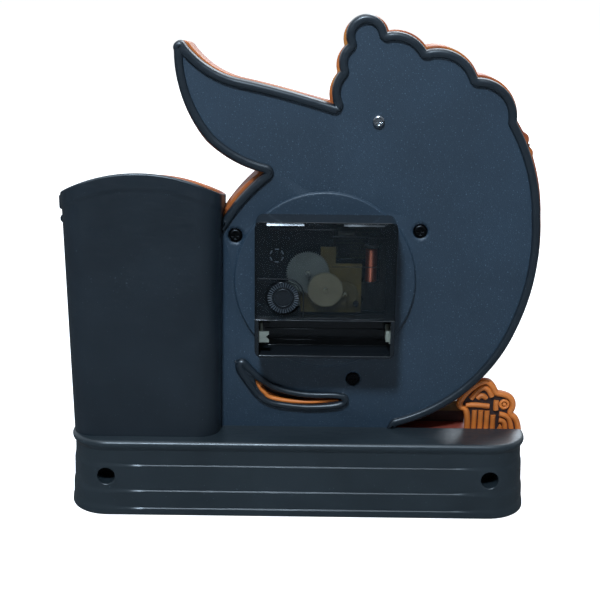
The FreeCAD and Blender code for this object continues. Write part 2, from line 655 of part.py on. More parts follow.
def back_shell():
    """The rear shell: field, bead round the outline, raised disc, slot with its lip, screw recesses."""
    field = between(outline_face(0.0, PANEL_FRONT), PANEL_FRONT, "panel_rear")
    rim = between(outline_face(0.0, "shell_seam"), "shell_seam", BEAD_REAR)
    core = between(outline_face(-number("bead_width"), "shell_seam - cut_overrun"),
                   "shell_seam - cut_overrun", BEAD_REAR + " + cut_overrun")
    bead = rim.cut(core)
    disc = rod(DIAL_X, DIAL_Z, "disc_radius", PANEL_FRONT, DISC_REAR)
    edges = [edge for edge in disc.Edges if edge.BoundBox.YMin > number(DISC_REAR) - number("fit_gap")]
    disc = disc.makeFillet(number("disc_round"), edges)
    lip = between(Part.Face(slot_wire(LIP_START_SHARES, LIP_ARC_SHARES, PANEL_FRONT)),
                  PANEL_FRONT, "panel_rear + slot_lip_rise")
    bosses = [rod(x, z, "panel_recess_radius + panel_boss_wall", BOSS_FRONT, "panel_rear")
              for x, z in BLACK_SCREWS + [STEEL_SCREW]]
    shell = all_of([field, bead, disc, lip] + bosses)
    cuts = [rod(DIAL_X, DIAL_Z, "disc_radius - panel_wall", "shell_seam - cut_overrun",
                DISC_REAR + " - panel_wall"),
            rod(DIAL_X, DIAL_Z, "bushing_radius + fit_gap", "shell_seam", DISC_REAR + " + cut_overrun"),
            between(Part.Face(slot_wire(OPENING_START_SHARES, OPENING_ARC_SHARES, "shell_seam")),
                    "shell_seam", DISC_REAR + " + cut_overrun")]
    for x, z in BLACK_SCREWS:
        cuts.append(rod(x, z, "panel_recess_radius", RECESS_FLOOR, "panel_rear + cut_overrun"))
    for x, z in BLACK_SCREWS + [STEEL_SCREW]:
        cuts.append(rod(x, z, "panel_screw_radius + fit_gap", BOSS_FRONT + " - cut_overrun",
                        DISC_REAR + " + cut_overrun"))
    return shell.cut(cuts + below_ledge() + [cup_outer.Shape])


def front_shell():
    """The front shell: a stepped tray over the same outline, with the dial's seat and screw bosses."""
    grow = number("front_overhang")
    tray = between(outline_face(grow, FRONT_FACE + " + front_step_depth"),
                   FRONT_FACE + " + front_step_depth", "shell_seam")
    raised = between(outline_face(grow - number("front_step_width"), FRONT_FACE),
                     FRONT_FACE, FRONT_FACE + " + front_wall")
    inside = between(outline_face(grow - number("side_wall"), FRONT_FACE + " + front_wall"),
                     FRONT_FACE + " + front_wall", "shell_seam + cut_overrun")
    shell = tray.cut(inside)
    seat = rod(DIAL_X, DIAL_Z, "dial_radius + fit_gap + seat_wall", FRONT_FACE + " + front_wall / 2",
               SEAT_FRONT + " + seat_wall")
    bosses = [rod(x, z, "panel_screw_radius + panel_boss_wall", FRONT_FACE + " + front_wall / 2",
                  BOSS_FRONT) for x, z in BLACK_SCREWS + [STEEL_SCREW]]
    lobes = [rod("-shell_reach * %s" % out, "shell_top * %s" % up, "lobe_radius",
                 FRONT_FACE + " + front_step_depth", "shell_seam") for out, up in LOBE_SHARES]
    shell = all_of([shell, raised, seat] + bosses + lobes)
    cuts = [rod(DIAL_X, DIAL_Z, "dial_radius + fit_gap", FRONT_FACE + " - cut_overrun", SEAT_FRONT),
            rod(DIAL_X, DIAL_Z, "bushing_radius + fit_gap", SEAT_FRONT + " - cut_overrun", "shell_seam")]
    for x, z in BLACK_SCREWS + [STEEL_SCREW]:
        cuts.append(rod(x, z, "panel_screw_radius", FRONT_FACE + " + front_wall", "shell_seam"))
    return shell.cut(cuts + below_ledge() + [cup_outer.Shape])


def slot_pieces():
    """The backing plate behind the slot, and the wavy trim that stands on it along the lower edge."""
    lip = Part.Face(slot_wire(LIP_START_SHARES, LIP_ARC_SHARES, "shell_seam - slot_backing"))
    backing = between(lip, "shell_seam - slot_backing", "shell_seam")
    opening = Part.Face(slot_wire(OPENING_START_SHARES, OPENING_ARC_SHARES, "shell_seam"))
    opening = opening.makeOffset2D(-number("fit_gap"))
    trim = between(opening, "shell_seam", "shell_seam + slot_trim_depth")
    upper = Part.Face(arc_wire(TRIM_START_SHARES, TRIM_ARC_SHARES, -number("slot_left"),
                               number("slot_foot"), number("slot_length"), number("slot_rise"),
                               number("shell_seam - cut_overrun")))
    keep_out = between(upper, "shell_seam - cut_overrun", "shell_seam + slot_trim_depth + cut_overrun")
    return backing, trim.cut(keep_out)


document.recompute()
fixed_shape("back_shell", back_shell())
fixed_shape("front_shell", front_shell())
slot_backing, slot_trim = slot_pieces()
fixed_shape("slot_inlay", slot_backing)
fixed_shape("slot_trim", slot_trim)
screw_group("panel_screws", [(x, RECESS_FLOOR, z) for x, z in BLACK_SCREWS],
            "panel_screw_head_radius", "panel_screw_head_height", "panel_screw_radius",
            "panel_screw_length")
screw_group("steel_screw", [(STEEL_SCREW[0], "panel_rear", STEEL_SCREW[1])],
            "steel_screw_head_radius", "panel_screw_head_height", "panel_screw_radius",
            "panel_screw_length")


# The dial with its lens, bezel and hands, on the front.
def turned(label, profile, across=DIAL_X, up=DIAL_Z):
    """A turned piece of (radius, y) points on an axis along Y."""
    body = new_body(label)
    revolve(body, profile)
    place(body, across, "0", up)
    return keep(body, label)


def ring_profile(inner, outer, front, rear):
    return [(inner, front), (outer, front), (outer, rear), (inner, rear)]


turned("dial_plate", ring_profile("bushing_radius + fit_gap", "dial_radius", DIAL_FRONT, SEAT_FRONT))
turned("dial_lens", [("0", "-front_face - bezel_depth + bezel_lip"),
                     ("lens_radius", "-front_face - bezel_depth + bezel_lip"),
                     ("lens_radius", "-front_face - bezel_depth + bezel_lip + lens_thickness"),
                     ("0", "-front_face - bezel_depth + bezel_lip + lens_thickness")])
turned("dial_bezel", [("bezel_opening", "-front_face - bezel_depth"),
                      ("bezel_radius - bezel_round", "-front_face - bezel_depth"),
                      ("bezel_radius", "-front_face - bezel_depth + bezel_round"),
                      ("bezel_radius", FRONT_FACE), ("dial_radius + fit_gap", FRONT_FACE),
                      ("dial_radius + fit_gap", "-front_face - bezel_depth + bezel_lip + lens_thickness"),
                      ("lens_radius", "-front_face - bezel_depth + bezel_lip + lens_thickness"),
                      ("lens_radius", "-front_face - bezel_depth + bezel_lip"),
                      ("bezel_opening", "-front_face - bezel_depth + bezel_lip")])


def hand(label, rear, hub, bore, length, width, tail, angle):
    """A flat hand that points up at an angle of zero, with a round hub that fits its pipe or arbor."""
    body = new_body(label)
    front = "%s - hand_thickness" % rear
    shoulder = "(%s) * %s" % (length, HAND_SHOULDER_SHARE)
    slab(body, "XZ_Plane", [("-(%s) / 2" % width, "-(%s)" % tail), ("(%s) / 2" % width, "-(%s)" % tail),
                            ("(%s) / 2" % width, shoulder), ("0", length),
                            ("-(%s) / 2" % width, shoulder)], front, rear)
    slab(body, "XZ_Plane", ("circles", [("0", "0", hub)]), front, rear)
    hollow(body, "XZ_Plane", ("circles", [("0", "0", bore)]), front + " - cut_overrun",
           rear + " + cut_overrun")
    place(body, DIAL_X, "0", DIAL_Z, angle)
    return keep(body, label)


hand("hour_hand", HOUR_HAND_REAR, "hour_pipe_radius + hand_hub_wall", "hour_pipe_radius",
     "hour_hand_length", "hour_hand_width", "0", "hour_angle")
hand("minute_hand", MINUTE_HAND_REAR, "minute_pipe_radius + hand_hub_wall", "minute_pipe_radius",
     "minute_hand_length", "minute_hand_width", "0", "minute_angle")
hand("second_hand", SECOND_HAND_REAR, "second_arbor_radius + hand_hub_wall", "second_arbor_radius",
     "second_hand_length", "second_hand_width", "second_hand_tail", "second_angle")


# The movement's case, cover and fixings.
HALF = "case_width / 2"
BAY_TOP = "(-case_width / 2 + case_wall + bay_height)"
CHAMBER_LOW = "(-case_width / 2 + case_wall + bay_height + case_wall)"
PLATE_FRONT = "(%s + plate_layer)" % FLOOR_REAR
PLATE_POSTS = [("-post_side_out", "post_side_up"), ("-post_low_out", "-post_low_down"),
               ("-post_top_out", "post_top_up")]
STATOR_POSTS = [("-stator_left - post_radius", "-stator_post_down"),
                ("-coil_offset - flange_radius - arm_gap - arm_width / 2", "-stator_foot + post_radius"),
                ("-coil_offset - flange_radius - arm_gap - arm_width / 2", "coil_foot + coil_length")]


def movement_body(name):
    """A body whose own origin is on the hands' axis."""
    body = new_body(name)
    place(body, DIAL_X, "0", DIAL_Z)
    return body


def pins(places, radius):
    return ("circles", [(x, z, radius) for x, z in places])


def movement_case():
    """A square case with a works chamber, a battery bay, posts, bearings and the threaded bushing."""
    body = movement_body("movement_case")
    slab(body, "XZ_Plane", rectangle("-" + HALF, HALF, "-" + HALF, HALF, "case_corner"),
         DISC_REAR, CASE_REAR)
    side = "%s - case_wall" % HALF
    hollow(body, "XZ_Plane", rectangle("-(%s)" % side, side, CHAMBER_LOW, side), FLOOR_REAR,
           CASE_REAR + " + cut_overrun")
    rim = "%s - case_wall + cover_rim" % HALF
    hollow(body, "XZ_Plane", rectangle("-(%s)" % rim, rim, CHAMBER_LOW + " - cover_rim", rim), COVER_FRONT,
           CASE_REAR + " + cut_overrun")
    bay = "%s - bay_wall" % HALF
    hollow(body, "XZ_Plane", rectangle("-(%s)" % bay, bay, "-%s + case_wall" % HALF, BAY_TOP), FLOOR_REAR,
           CASE_REAR + " + cut_overrun")
    slab(body, "XZ_Plane", pins(PLATE_POSTS, "post_radius"), DISC_REAR, PLATE_FRONT)
    slab(body, "XZ_Plane", pins(STATOR_POSTS, "post_radius"), DISC_REAR, FLOOR_REAR + " + stator_layer")
    slab(body, "XZ_Plane", pins([WORKS], "works_post_radius"), DISC_REAR,
         FLOOR_REAR + " + works_layer + wheel_thickness + running_gap")
    slab(body, "XZ_Plane", pins([("0", "0")], "bushing_radius"), BUSHING_TIP, FLOOR_REAR)
    hollow(body, "XZ_Plane", pins([("0", "0")], "hour_pipe_radius + running_gap"),
           BUSHING_TIP + " - cut_overrun", FLOOR_REAR + " + cut_overrun")
    hollow(body, "XZ_Plane", pins([THIRD, ROTOR, KNOB], "arbor_radius + running_gap"),
           FLOOR_REAR + " - pivot_depth", FLOOR_REAR + " + cut_overrun")
    return keep(body, "movement_case")


def movement_cover():
    """The smoked cover over the works, with a hole for the knob and a bearing at each arbor."""
    body = movement_body("movement_cover")
    rim = "%s - case_wall + cover_rim - fit_gap" % HALF
    slab(body, "XZ_Plane", rectangle("-(%s)" % rim, rim, CHAMBER_LOW + " - cover_rim + fit_gap", rim),
         COVER_FRONT, CASE_REAR)
    arbors = [("0", "0"), THIRD, INTERMEDIATE, ROTOR]
    slab(body, "XZ_Plane", pins(arbors, "arbor_radius + post_radius"), COVER_FRONT + " - pivot_depth",
         COVER_FRONT)
    hollow(body, "XZ_Plane", pins(arbors, "second_arbor_radius + running_gap"),
           COVER_FRONT + " - pivot_depth - cut_overrun", COVER_FRONT)
    hollow(body, "XZ_Plane", pins([KNOB], "knob_radius + knob_hole_gap"), COVER_FRONT + " - cut_overrun",
           CASE_REAR + " + cut_overrun")
    return keep(body, "movement_cover")


def train_plate():
    """The middle plate that carries the front ends of the arbors near the motor."""
    body = movement_body("train_bridge")
    rear = PLATE_FRONT + " + plate_thickness"
    ear = "(post_radius + plate_ear)"
    slab(body, "XZ_Plane",
         [("-plate_right", "-plate_foot"), ("plate_left", "-plate_foot"), ("plate_left", "plate_top"),
          ("-post_top_out + %s" % ear, "plate_top"), ("-post_top_out + %s" % ear, "post_top_up + %s" % ear),
          ("-post_top_out - %s" % ear, "post_top_up + %s" % ear), ("-post_top_out - %s" % ear, "plate_top"),
          ("-plate_right", "plate_top")], PLATE_FRONT, rear)
    small = pins([INTERMEDIATE], "arbor_radius + running_gap")
    hollow(body, "XZ_Plane", small, PLATE_FRONT + " - cut_overrun", rear + " + cut_overrun")
    hollow(body, "XZ_Plane", pins([("0", "0"), ROTOR], "second_arbor_radius + running_gap"),
           PLATE_FRONT + " - cut_overrun", rear + " + cut_overrun")
    hollow(body, "XZ_Plane", pins([THIRD], "arbor_radius + post_radius"), PLATE_FRONT + " - cut_overrun",
           rear + " + cut_overrun")
    return keep(body, "train_bridge")


movement_case()
movement_cover()
train_plate()
turned("movement_washer", ring_profile("bushing_radius + fit_gap", "washer_radius",
                                       DIAL_FRONT + " - washer_thickness", DIAL_FRONT))
NUT_REAR = DIAL_FRONT + " - washer_thickness"
nut = movement_body("movement_nut")
NUT_SIDE = "nut_width / sqrt(3)"
slab(nut, "XZ_Plane",
     [(NUT_SIDE, "0"), ("%s / 2" % NUT_SIDE, "nut_width / 2"), ("-%s / 2" % NUT_SIDE, "nut_width / 2"),
      ("-" + NUT_SIDE, "0"), ("-%s / 2" % NUT_SIDE, "-nut_width / 2"),
       ("%s / 2" % NUT_SIDE, "-nut_width / 2")],
     NUT_REAR + " - nut_thickness", NUT_REAR)
hollow(nut, "XZ_Plane", pins([("0", "0")], "bushing_radius"), NUT_REAR + " - nut_thickness - cut_overrun",
       NUT_REAR + " + cut_overrun")
keep(nut, "movement_nut")


# The wheels. Each is worked out from tooth counts and the distance to the arbor that it meshes with.
def spot(pair):
    return Vector(number("%s + %s" % (DIAL_X, pair[0])), 0, number("%s + %s" % (DIAL_Z, pair[1])))


CENTRE = spot(("0", "0"))
AT_THIRD, AT_INTERMEDIATE, AT_ROTOR = spot(THIRD), spot(INTERMEDIATE), spot(ROTOR)
AT_WORKS, AT_KNOB = spot(WORKS), spot(KNOB)


def module_of(driver, driven, distance):
    return 2.0 * number(distance) / (TOOTH_COUNTS[driver] + TOOTH_COUNTS[driven])


def toothed(name, module, centre, phase, front, rear, bore=None):
    """A spur wheel: straight sided teeth on a disc, with a round bore if one is given."""
    teeth = TOOTH_COUNTS[name]
    pitch = 2.0 * math.pi / teeth
    root = module * (teeth / 2.0 - DEDENDUM_SHARE)
    tip = module * (teeth / 2.0 + ADDENDUM_SHARE)
    points = []
    for index in range(teeth):
        for radius, share in ((root, -TOOTH_ROOT_SHARE), (tip, -TOOTH_TIP_SHARE),
                              (tip, TOOTH_TIP_SHARE), (root, TOOTH_ROOT_SHARE)):
            turn = phase + (index + share) * pitch
            points.append(centre + Vector(radius * math.cos(turn), number(front), radius * math.sin(turn)))
    wheel = Part.Face(Part.makePolygon(points + points[:1]))
    wheel = wheel.extrude(Vector(0, number(rear) - number(front), 0))
    if bore is not None:
        wheel = wheel.cut(bar(centre, bore, front + " - cut_overrun", rear + " + cut_overrun"))
    return wheel


def bar(centre, radius, front, rear):
    start = Vector(centre.x, number(front), centre.z)
    return Part.makeCylinder(number(radius), number(rear) - number(front), start, Vector(0, 1, 0))


def meshed_phase(driver, phase, driven, from_centre, to_centre):
    """The turn of a driven wheel whose gap lies where the driver's tooth points at it."""
    way = math.atan2(to_centre.z - from_centre.z, to_centre.x - from_centre.x)
    pitch = 2.0 * math.pi / TOOTH_COUNTS[driver]
    offset = math.fmod(way - phase, pitch)
    driven_offset = offset * TOOTH_COUNTS[driver] / TOOTH_COUNTS[driven]
    return way + math.pi + driven_offset + math.pi / TOOTH_COUNTS[driven]


def layer(name, extra="0"):
    return "(%s + %s + %s)" % (FLOOR_REAR, name, extra)


PIVOT_REAR = "(%s - running_gap)" % COVER_FRONT
PIVOT_FRONT = "(%s - pivot_depth + running_gap)" % FLOOR_REAR

second_phase = 0.0
third_module = module_of("second_pinion", "third_wheel", "third_distance")
third_phase = meshed_phase("second_pinion", second_phase, "third_wheel", CENTRE, AT_THIRD)
minute_module = module_of("third_pinion", "minute_wheel", "third_distance")
minute_phase = meshed_phase("third_pinion", third_phase, "minute_wheel", AT_THIRD, CENTRE)
second_module = module_of("intermediate_pinion", "second_wheel", "intermediate_distance")
intermediate_phase = meshed_phase("second_wheel", second_phase, "intermediate_pinion", CENTRE,
                                  AT_INTERMEDIATE)
rotor_module = module_of("rotor_pinion", "intermediate_wheel", "rotor_distance")
rotor_phase = meshed_phase("intermediate_wheel", intermediate_phase, "rotor_pinion", AT_INTERMEDIATE,
                           AT_ROTOR)
works_module = module_of("minute_pinion", "works_wheel", "works_distance")
works_phase = meshed_phase("minute_pinion", 0.0, "works_wheel", CENTRE, AT_WORKS)
hour_module = module_of("works_pinion", "hour_wheel", "works_distance")
hour_phase = meshed_phase("works_pinion", works_phase, "hour_wheel", AT_WORKS, CENTRE)
knob_phase = meshed_phase("works_wheel", works_phase, "knob_pinion", AT_WORKS, AT_KNOB)

SECOND_FRONT = layer("second_layer")
SECOND_REAR = layer("second_layer", "wheel_thickness")
THIRD_FRONT = layer("third_layer")
THIRD_REAR = layer("third_layer", "wheel_thickness")
MINUTE_FRONT = layer("minute_layer")
MINUTE_REAR = layer("minute_layer", "wheel_thickness")
WORKS_FRONT = layer("works_layer")
WORKS_REAR = layer("works_layer", "wheel_thickness")
HOUR_FRONT = layer("hour_layer")
HOUR_REAR = layer("hour_layer", "wheel_thickness")

fixed_shape("second_wheel", all_of([
    toothed("second_wheel", second_module, CENTRE, second_phase, SECOND_FRONT, SECOND_REAR),
    toothed("second_pinion", third_module, CENTRE, second_phase, THIRD_FRONT + " - free_gap", SECOND_FRONT),
    bar(CENTRE, "second_arbor_radius", SECOND_HAND_REAR + " - hand_thickness", PIVOT_REAR)]))
fixed_shape("third_wheel", all_of([
    toothed("third_wheel", third_module, AT_THIRD, third_phase, THIRD_FRONT, THIRD_REAR),
    toothed("third_pinion", minute_module, AT_THIRD, third_phase, MINUTE_FRONT + " - free_gap", THIRD_FRONT),
    bar(AT_THIRD, "arbor_radius", PIVOT_FRONT, PIVOT_REAR)]))
fixed_shape("intermediate_wheel", all_of([
    toothed("intermediate_wheel", rotor_module, AT_INTERMEDIATE, intermediate_phase,
            THIRD_FRONT + " - wheel_thickness / 2", THIRD_REAR + " - wheel_thickness / 2"),
    toothed("intermediate_pinion", second_module, AT_INTERMEDIATE, intermediate_phase,
            THIRD_REAR + " - wheel_thickness / 2", SECOND_REAR + " + free_gap / 2"),
    bar(AT_INTERMEDIATE, "arbor_radius", PLATE_FRONT, PIVOT_REAR)]))
MAGNET_FRONT = layer("stator_layer", "stator_thickness / 2 - magnet_height / 2")
MAGNET_REAR = layer("stator_layer", "stator_thickness / 2 + magnet_height / 2")
fixed_shape("rotor", all_of([
    bar(AT_ROTOR, "magnet_radius", MAGNET_FRONT, MAGNET_REAR),
    toothed("rotor_pinion", rotor_module, AT_ROTOR, rotor_phase,
            THIRD_FRONT + " - wheel_thickness / 2 - free_gap / 2", THIRD_REAR + " + free_gap"),
    bar(AT_ROTOR, "arbor_radius", PIVOT_FRONT, PIVOT_REAR)]))
fixed_shape("minute_wheel", toothed("minute_wheel", minute_module, CENTRE, minute_phase, MINUTE_FRONT,
                                    MINUTE_REAR, "minute_pipe_radius + running_gap"))
fixed_shape("minute_pipe", all_of([
    toothed("minute_pinion", works_module, CENTRE, 0.0, WORKS_FRONT + " - free_gap / 2",
            MINUTE_FRONT + " - running_gap"),
    bar(CENTRE, "minute_pipe_radius", MINUTE_HAND_REAR + " - hand_thickness", MINUTE_REAR + " + free_gap")
]).cut(bar(CENTRE, "second_arbor_radius + running_gap", SECOND_HAND_REAR, COVER_FRONT)))
fixed_shape("works_wheel", all_of([
    toothed("works_wheel", works_module, AT_WORKS, works_phase, WORKS_FRONT, WORKS_REAR),
    toothed("works_pinion", hour_module, AT_WORKS, works_phase, HOUR_FRONT + " - free_gap / 2", WORKS_FRONT)
]).cut(bar(AT_WORKS, "works_post_radius + running_gap", FLOOR_REAR, WORKS_REAR + " + cut_overrun")))
fixed_shape("hour_wheel", all_of([
    toothed("hour_wheel", hour_module, CENTRE, hour_phase, HOUR_FRONT, HOUR_REAR),
    bar(CENTRE, "hour_pipe_radius", HOUR_HAND_REAR + " - hand_thickness", HOUR_FRONT)
]).cut(bar(CENTRE, "minute_pipe_radius + running_gap", HOUR_HAND_REAR + " - hand_thickness - cut_overrun",
           HOUR_REAR + " + cut_overrun")))


def setting_knob():
    """A ribbed knob behind the case on a stem that ends in the pinion for the works wheel."""
    knob = bar(AT_KNOB, "knob_radius", CASE_REAR + " + knob_rise - knob_height", CASE_REAR + " + knob_rise")
    stem = bar(AT_KNOB, "knob_stem_radius", WORKS_REAR, CASE_REAR)
    pivot = bar(AT_KNOB, "arbor_radius", PIVOT_FRONT, WORKS_REAR)
    pinion = toothed("knob_pinion", works_module, AT_KNOB, knob_phase, WORKS_FRONT + " - free_gap / 2",
                     WORKS_REAR + " + free_gap")
    wide = number("knob_rib_width")
    top = number(CASE_REAR + " + knob_rise")
    rib = Part.makeBox(number("knob_radius - knob_face_radius"), number("knob_rib_height"), wide,
                       Vector(AT_KNOB.x + number("knob_face_radius"), top, AT_KNOB.z - wide / 2))
    count = int(2 * math.pi * number("knob_radius / knob_rib_spacing"))
    ribs = [rib.copy() for _ in range(count)]
    for index, one in enumerate(ribs):
        one.rotate(AT_KNOB, Vector(0, 1, 0), index * 360.0 / count)
    return all_of([knob, stem, pivot, pinion] + ribs)


fixed_shape("setting_knob", setting_knob())


# The motor's coil and stator, the circuit and the battery contacts.
STATOR_FRONT = layer("stator_layer")
STATOR_REAR = layer("stator_layer", "stator_thickness")
CORE_REAR = layer("stator_layer", "stator_thickness + core_thickness")
COIL_AXIS = layer("stator_layer", "stator_thickness + core_thickness / 2")
COIL_TOP = "(coil_foot + coil_length)"
ARM_INNER = "(coil_offset + flange_radius + arm_gap)"


def stator():
    """A flat C of soft iron: poles round the rotor, an arm beside the coil and a tab over its end."""
    body = movement_body("stator")
    core_side = "coil_offset - core_width / 2"
    slab(body, "XZ_Plane",
         [("-(%s + arm_width)" % ARM_INNER, "-stator_foot"), ("-stator_left", "-stator_foot"),
          ("-stator_left", "coil_foot - free_gap"), ("-" + ARM_INNER, "coil_foot - free_gap"),
          ("-" + ARM_INNER, COIL_TOP + " + free_gap"), ("-(%s)" % core_side, COIL_TOP + " + free_gap"),
          ("-(%s)" % core_side, COIL_TOP + " + free_gap + core_overlap"),
          ("-(%s + arm_width)" % ARM_INNER, COIL_TOP + " + free_gap + core_overlap")],
         STATOR_FRONT, STATOR_REAR)
    hollow(body, "XZ_Plane", pins([ROTOR], "magnet_radius + stator_air_gap"),
           STATOR_FRONT + " - cut_overrun", STATOR_REAR + " + cut_overrun")
    return keep(body, "stator")


def coil_core():
    body = movement_body("coil_core")
    left, right = "-coil_offset - core_width / 2", "-coil_offset + core_width / 2"
    slab(body, "XZ_Plane", rectangle(left, right, "coil_foot - free_gap - core_overlap",
                                     COIL_TOP + " + free_gap + core_overlap"), STATOR_REAR, CORE_REAR)
    return keep(body, "coil_core")


def upright(radius, low, high):
    """A round bar along Z on the coil's axis."""
    foot = Vector(number(DIAL_X + " - coil_offset"), number(COIL_AXIS), number("%s + %s" % (DIAL_Z, low)))
    return Part.makeCylinder(number(radius), number(high) - number(low), foot)


def core_slot():
    foot = Vector(number(DIAL_X + " - coil_offset - core_width / 2"), number(STATOR_REAR),
                  number("%s + coil_foot - cut_overrun" % DIAL_Z))
    return Part.makeBox(number("core_width"), number("core_thickness"),
                        number("coil_length + 2 * cut_overrun"), foot)


def coil_bobbin():
    """A spool with two flanges and a slot for the core."""
    spool = [upright("core_width / 2 + fit_gap + free_gap", "coil_foot", COIL_TOP),
             upright("flange_radius", "coil_foot", "coil_foot + flange_thickness"),
             upright("flange_radius", COIL_TOP + " - flange_thickness", COIL_TOP)]
    return all_of(spool).cut(core_slot())


def coil_winding():
    """Hair-fine wire: its turns fill a plain sleeve between the flanges."""
    low, high = "coil_foot + flange_thickness", COIL_TOP + " - flange_thickness"
    return upright("coil_radius", low, high).cut(
        upright("core_width / 2 + fit_gap + free_gap", low + " - cut_overrun", high + " + cut_overrun"))


def circuit():
    """The circuit board, its covered chip and the tuning crystal's can."""
    board = movement_body("circuit_board")
    front = FLOOR_REAR + " + board_standoff"
    rear = front + " + board_thickness"
    slab(board, "XZ_Plane", rectangle("-board_right", "-board_left - post_radius / 2", "board_foot",
                                      "board_top"), front, rear)
    slab(board, "XZ_Plane", pins([("-board_right + part_margin", "board_top - part_margin"),
                                  ("-board_left - post_radius / 2 - part_margin", "board_top - part_margin")],
                                 "arbor_radius"), FLOOR_REAR, front)
    keep(board, "circuit_board")
    chip = movement_body("control_chip")
    left = "-board_left - post_radius - part_margin - chip_width"
    slab(chip, "XZ_Plane", rectangle(left, left + " + chip_width", "board_foot + part_margin",
                                     "board_foot + part_margin + chip_width"), rear, rear + " + chip_height")
    keep(chip, "control_chip")
    can = document.addObject("Part::Cylinder", "quartz_crystal")
    bind(can, "Radius", "crystal_radius")
    bind(can, "Height", "crystal_length")
    can.Placement = FreeCAD.Placement(Vector(0, 0, 0), FreeCAD.Rotation(Vector(0, 1, 0), 90))
    bind(can, "Placement.Base.x", DIAL_X + " - board_left - post_radius - part_margin - crystal_length")
    bind(can, "Placement.Base.y", rear + " + crystal_radius")
    bind(can, "Placement.Base.z", DIAL_Z + " + board_top - part_margin - crystal_radius")
    keep(can, "quartz_crystal")


def battery_contact(label, side):
    """A sprung contact at one end of the bay: an end plate, and a tab or a tongue turned inwards."""
    body = movement_body(label)
    wall = "(case_width / 2 - bay_wall)"
    middle = "(-case_width / 2 + case_wall + bay_height / 2)"
    low, high = "%s - contact_width / 2" % middle, "%s + contact_width / 2" % middle
    front = FLOOR_REAR + " + contact_margin"
    rear = front + " + contact_height"
    sign = "" if side > 0 else "-"

    def across(text):
        return "%s(%s)" % (sign, text)

    def panel(inner, outer, depth_front, depth_rear):
        ends = [across(inner), across(outer)]
        if number(ends[0]) > number(ends[1]):
            ends.reverse()
        slab(body, "XZ_Plane", rectangle(ends[0], ends[1], low, high), depth_front, depth_rear)

    panel(wall + " - contact_thickness", wall, front, rear)
    panel(wall + " - contact_margin", wall, FLOOR_REAR, front)
    if side > 0:
        panel(wall + " - tab_reach", wall, rear + " - contact_thickness", rear)
        point = wall + " - tab_reach + notch_depth"
        edge = wall + " - tab_reach"
        half = "contact_width * %s / 2" % NOTCH_SHARE
        hollow(body, "XZ_Plane", [(edge + " - cut_overrun", "%s - %s" % (middle, half)),
                                  (edge, "%s - %s" % (middle, half)), (point, middle),
                                  (edge, "%s + %s" % (middle, half)),
                                  (edge + " - cut_overrun", "%s + %s" % (middle, half))],
               rear + " - contact_thickness - cut_overrun", rear + " + cut_overrun")
    else:
        for share in TONGUE_SHARES:
            height = "%s + contact_height * %s" % (front, share)
            panel(wall + " - tongue_reach", wall, height, height + " + contact_thickness")
    return keep(body, label)


stator()
coil_core()
fixed_shape("coil_bobbin", coil_bobbin())
fixed_shape("coil_winding", coil_winding())
circuit()
battery_contact("battery_contact_positive", 1)
battery_contact("battery_contact_negative", -1)


# Beside the round shell, on the front half of the base: two steps and a pierced scroll ornament.
document.recompute()
SHELL_BLOCK = between(outline_face(number("front_overhang"), "-base_depth / 2"), "-base_depth / 2",
                      "base_depth / 2")


def step_block(left, right, front, rear, low, high, radius):
    """A block with its long upper rear edge rounded, cut to fit round the front shell."""
    corner = Vector(-number(right), number(front), number(low))
    box = Part.makeBox(number(right) - number(left), number(rear) - number(front),
                       number(high) - number(low), corner)
    edges = [edge for edge in box.Edges if edge.BoundBox.YMin > number(rear) - number("fit_gap")
             and edge.BoundBox.ZMin > number(high) - number("fit_gap")]
    if radius:
        box = box.makeFillet(number(radius), edges)
    return box.cut(SHELL_BLOCK)


STEP_TOP = "front_top_height + step_height"
fixed_shape("display_step", step_block("step_left", "step_right", "-step_front", "-step_rear",
                                       "front_top_height", STEP_TOP, None))
fixed_shape("step_moulding",
            step_block("step_left", "step_right + moulding_overhang", "-step_front - moulding_overhang",
                       "-step_rear + moulding_overhang", STEP_TOP, STEP_TOP + " + moulding_height",
                       "moulding_round"))


def scroll_ornament():
    """A pierced plate with raised bars and rings, standing on the base beside the round shell."""
    left, wide = number("ornament_left"), number("ornament_width")
    low, tall = number("front_top_height"), number("ornament_height")
    front = "ornament_rear - ornament_thickness"
    start, end = ORNAMENT_START_SHARES, ORNAMENT_ARC_SHARES[-1][1]
    arcs = arc_wire(start, ORNAMENT_ARC_SHARES, left, low, wide, tall, number(front)).Edges
    foot = Part.makeLine(Vector(-(left + end[0] * wide), number(front), low),
                         Vector(-(left + start[0] * wide), number(front), low))
    plate = between(Part.Face(Part.Wire(arcs + [foot])), front, "ornament_rear")
    raised, holes = [], []
    for across, height in BAR_SHARES:
        corner = Vector(-(left + across * wide) - number("scroll_width") / 2, number("ornament_rear"), low)
        raised.append(Part.makeBox(number("scroll_width"), number("scroll_rise"), height * tall, corner))
    for across, up, size in RING_SHARES:
        centre = Vector(-(left + across * wide), 0, low + up * tall)
        radius = size * wide
        outer = Part.makeCylinder(radius, number("scroll_rise"),
                                  centre + Vector(0, number("ornament_rear"), 0), Vector(0, 1, 0))
        inner = Part.makeCylinder(radius * RING_HOLE_SHARE,
                                  number("ornament_thickness + scroll_rise + 2 * cut_overrun"),
                                  centre + Vector(0, number(front + " - cut_overrun"), 0), Vector(0, 1, 0))
        raised.append(outer)
        holes.append(inner)
    whole = between(Part.Face(Part.Wire(arcs + [foot])), front, "ornament_rear + scroll_rise")
    return all_of([plate] + raised).common(whole).cut(holes).cut(SHELL_BLOCK)


fixed_shape("scroll_ornament", scroll_ornament())

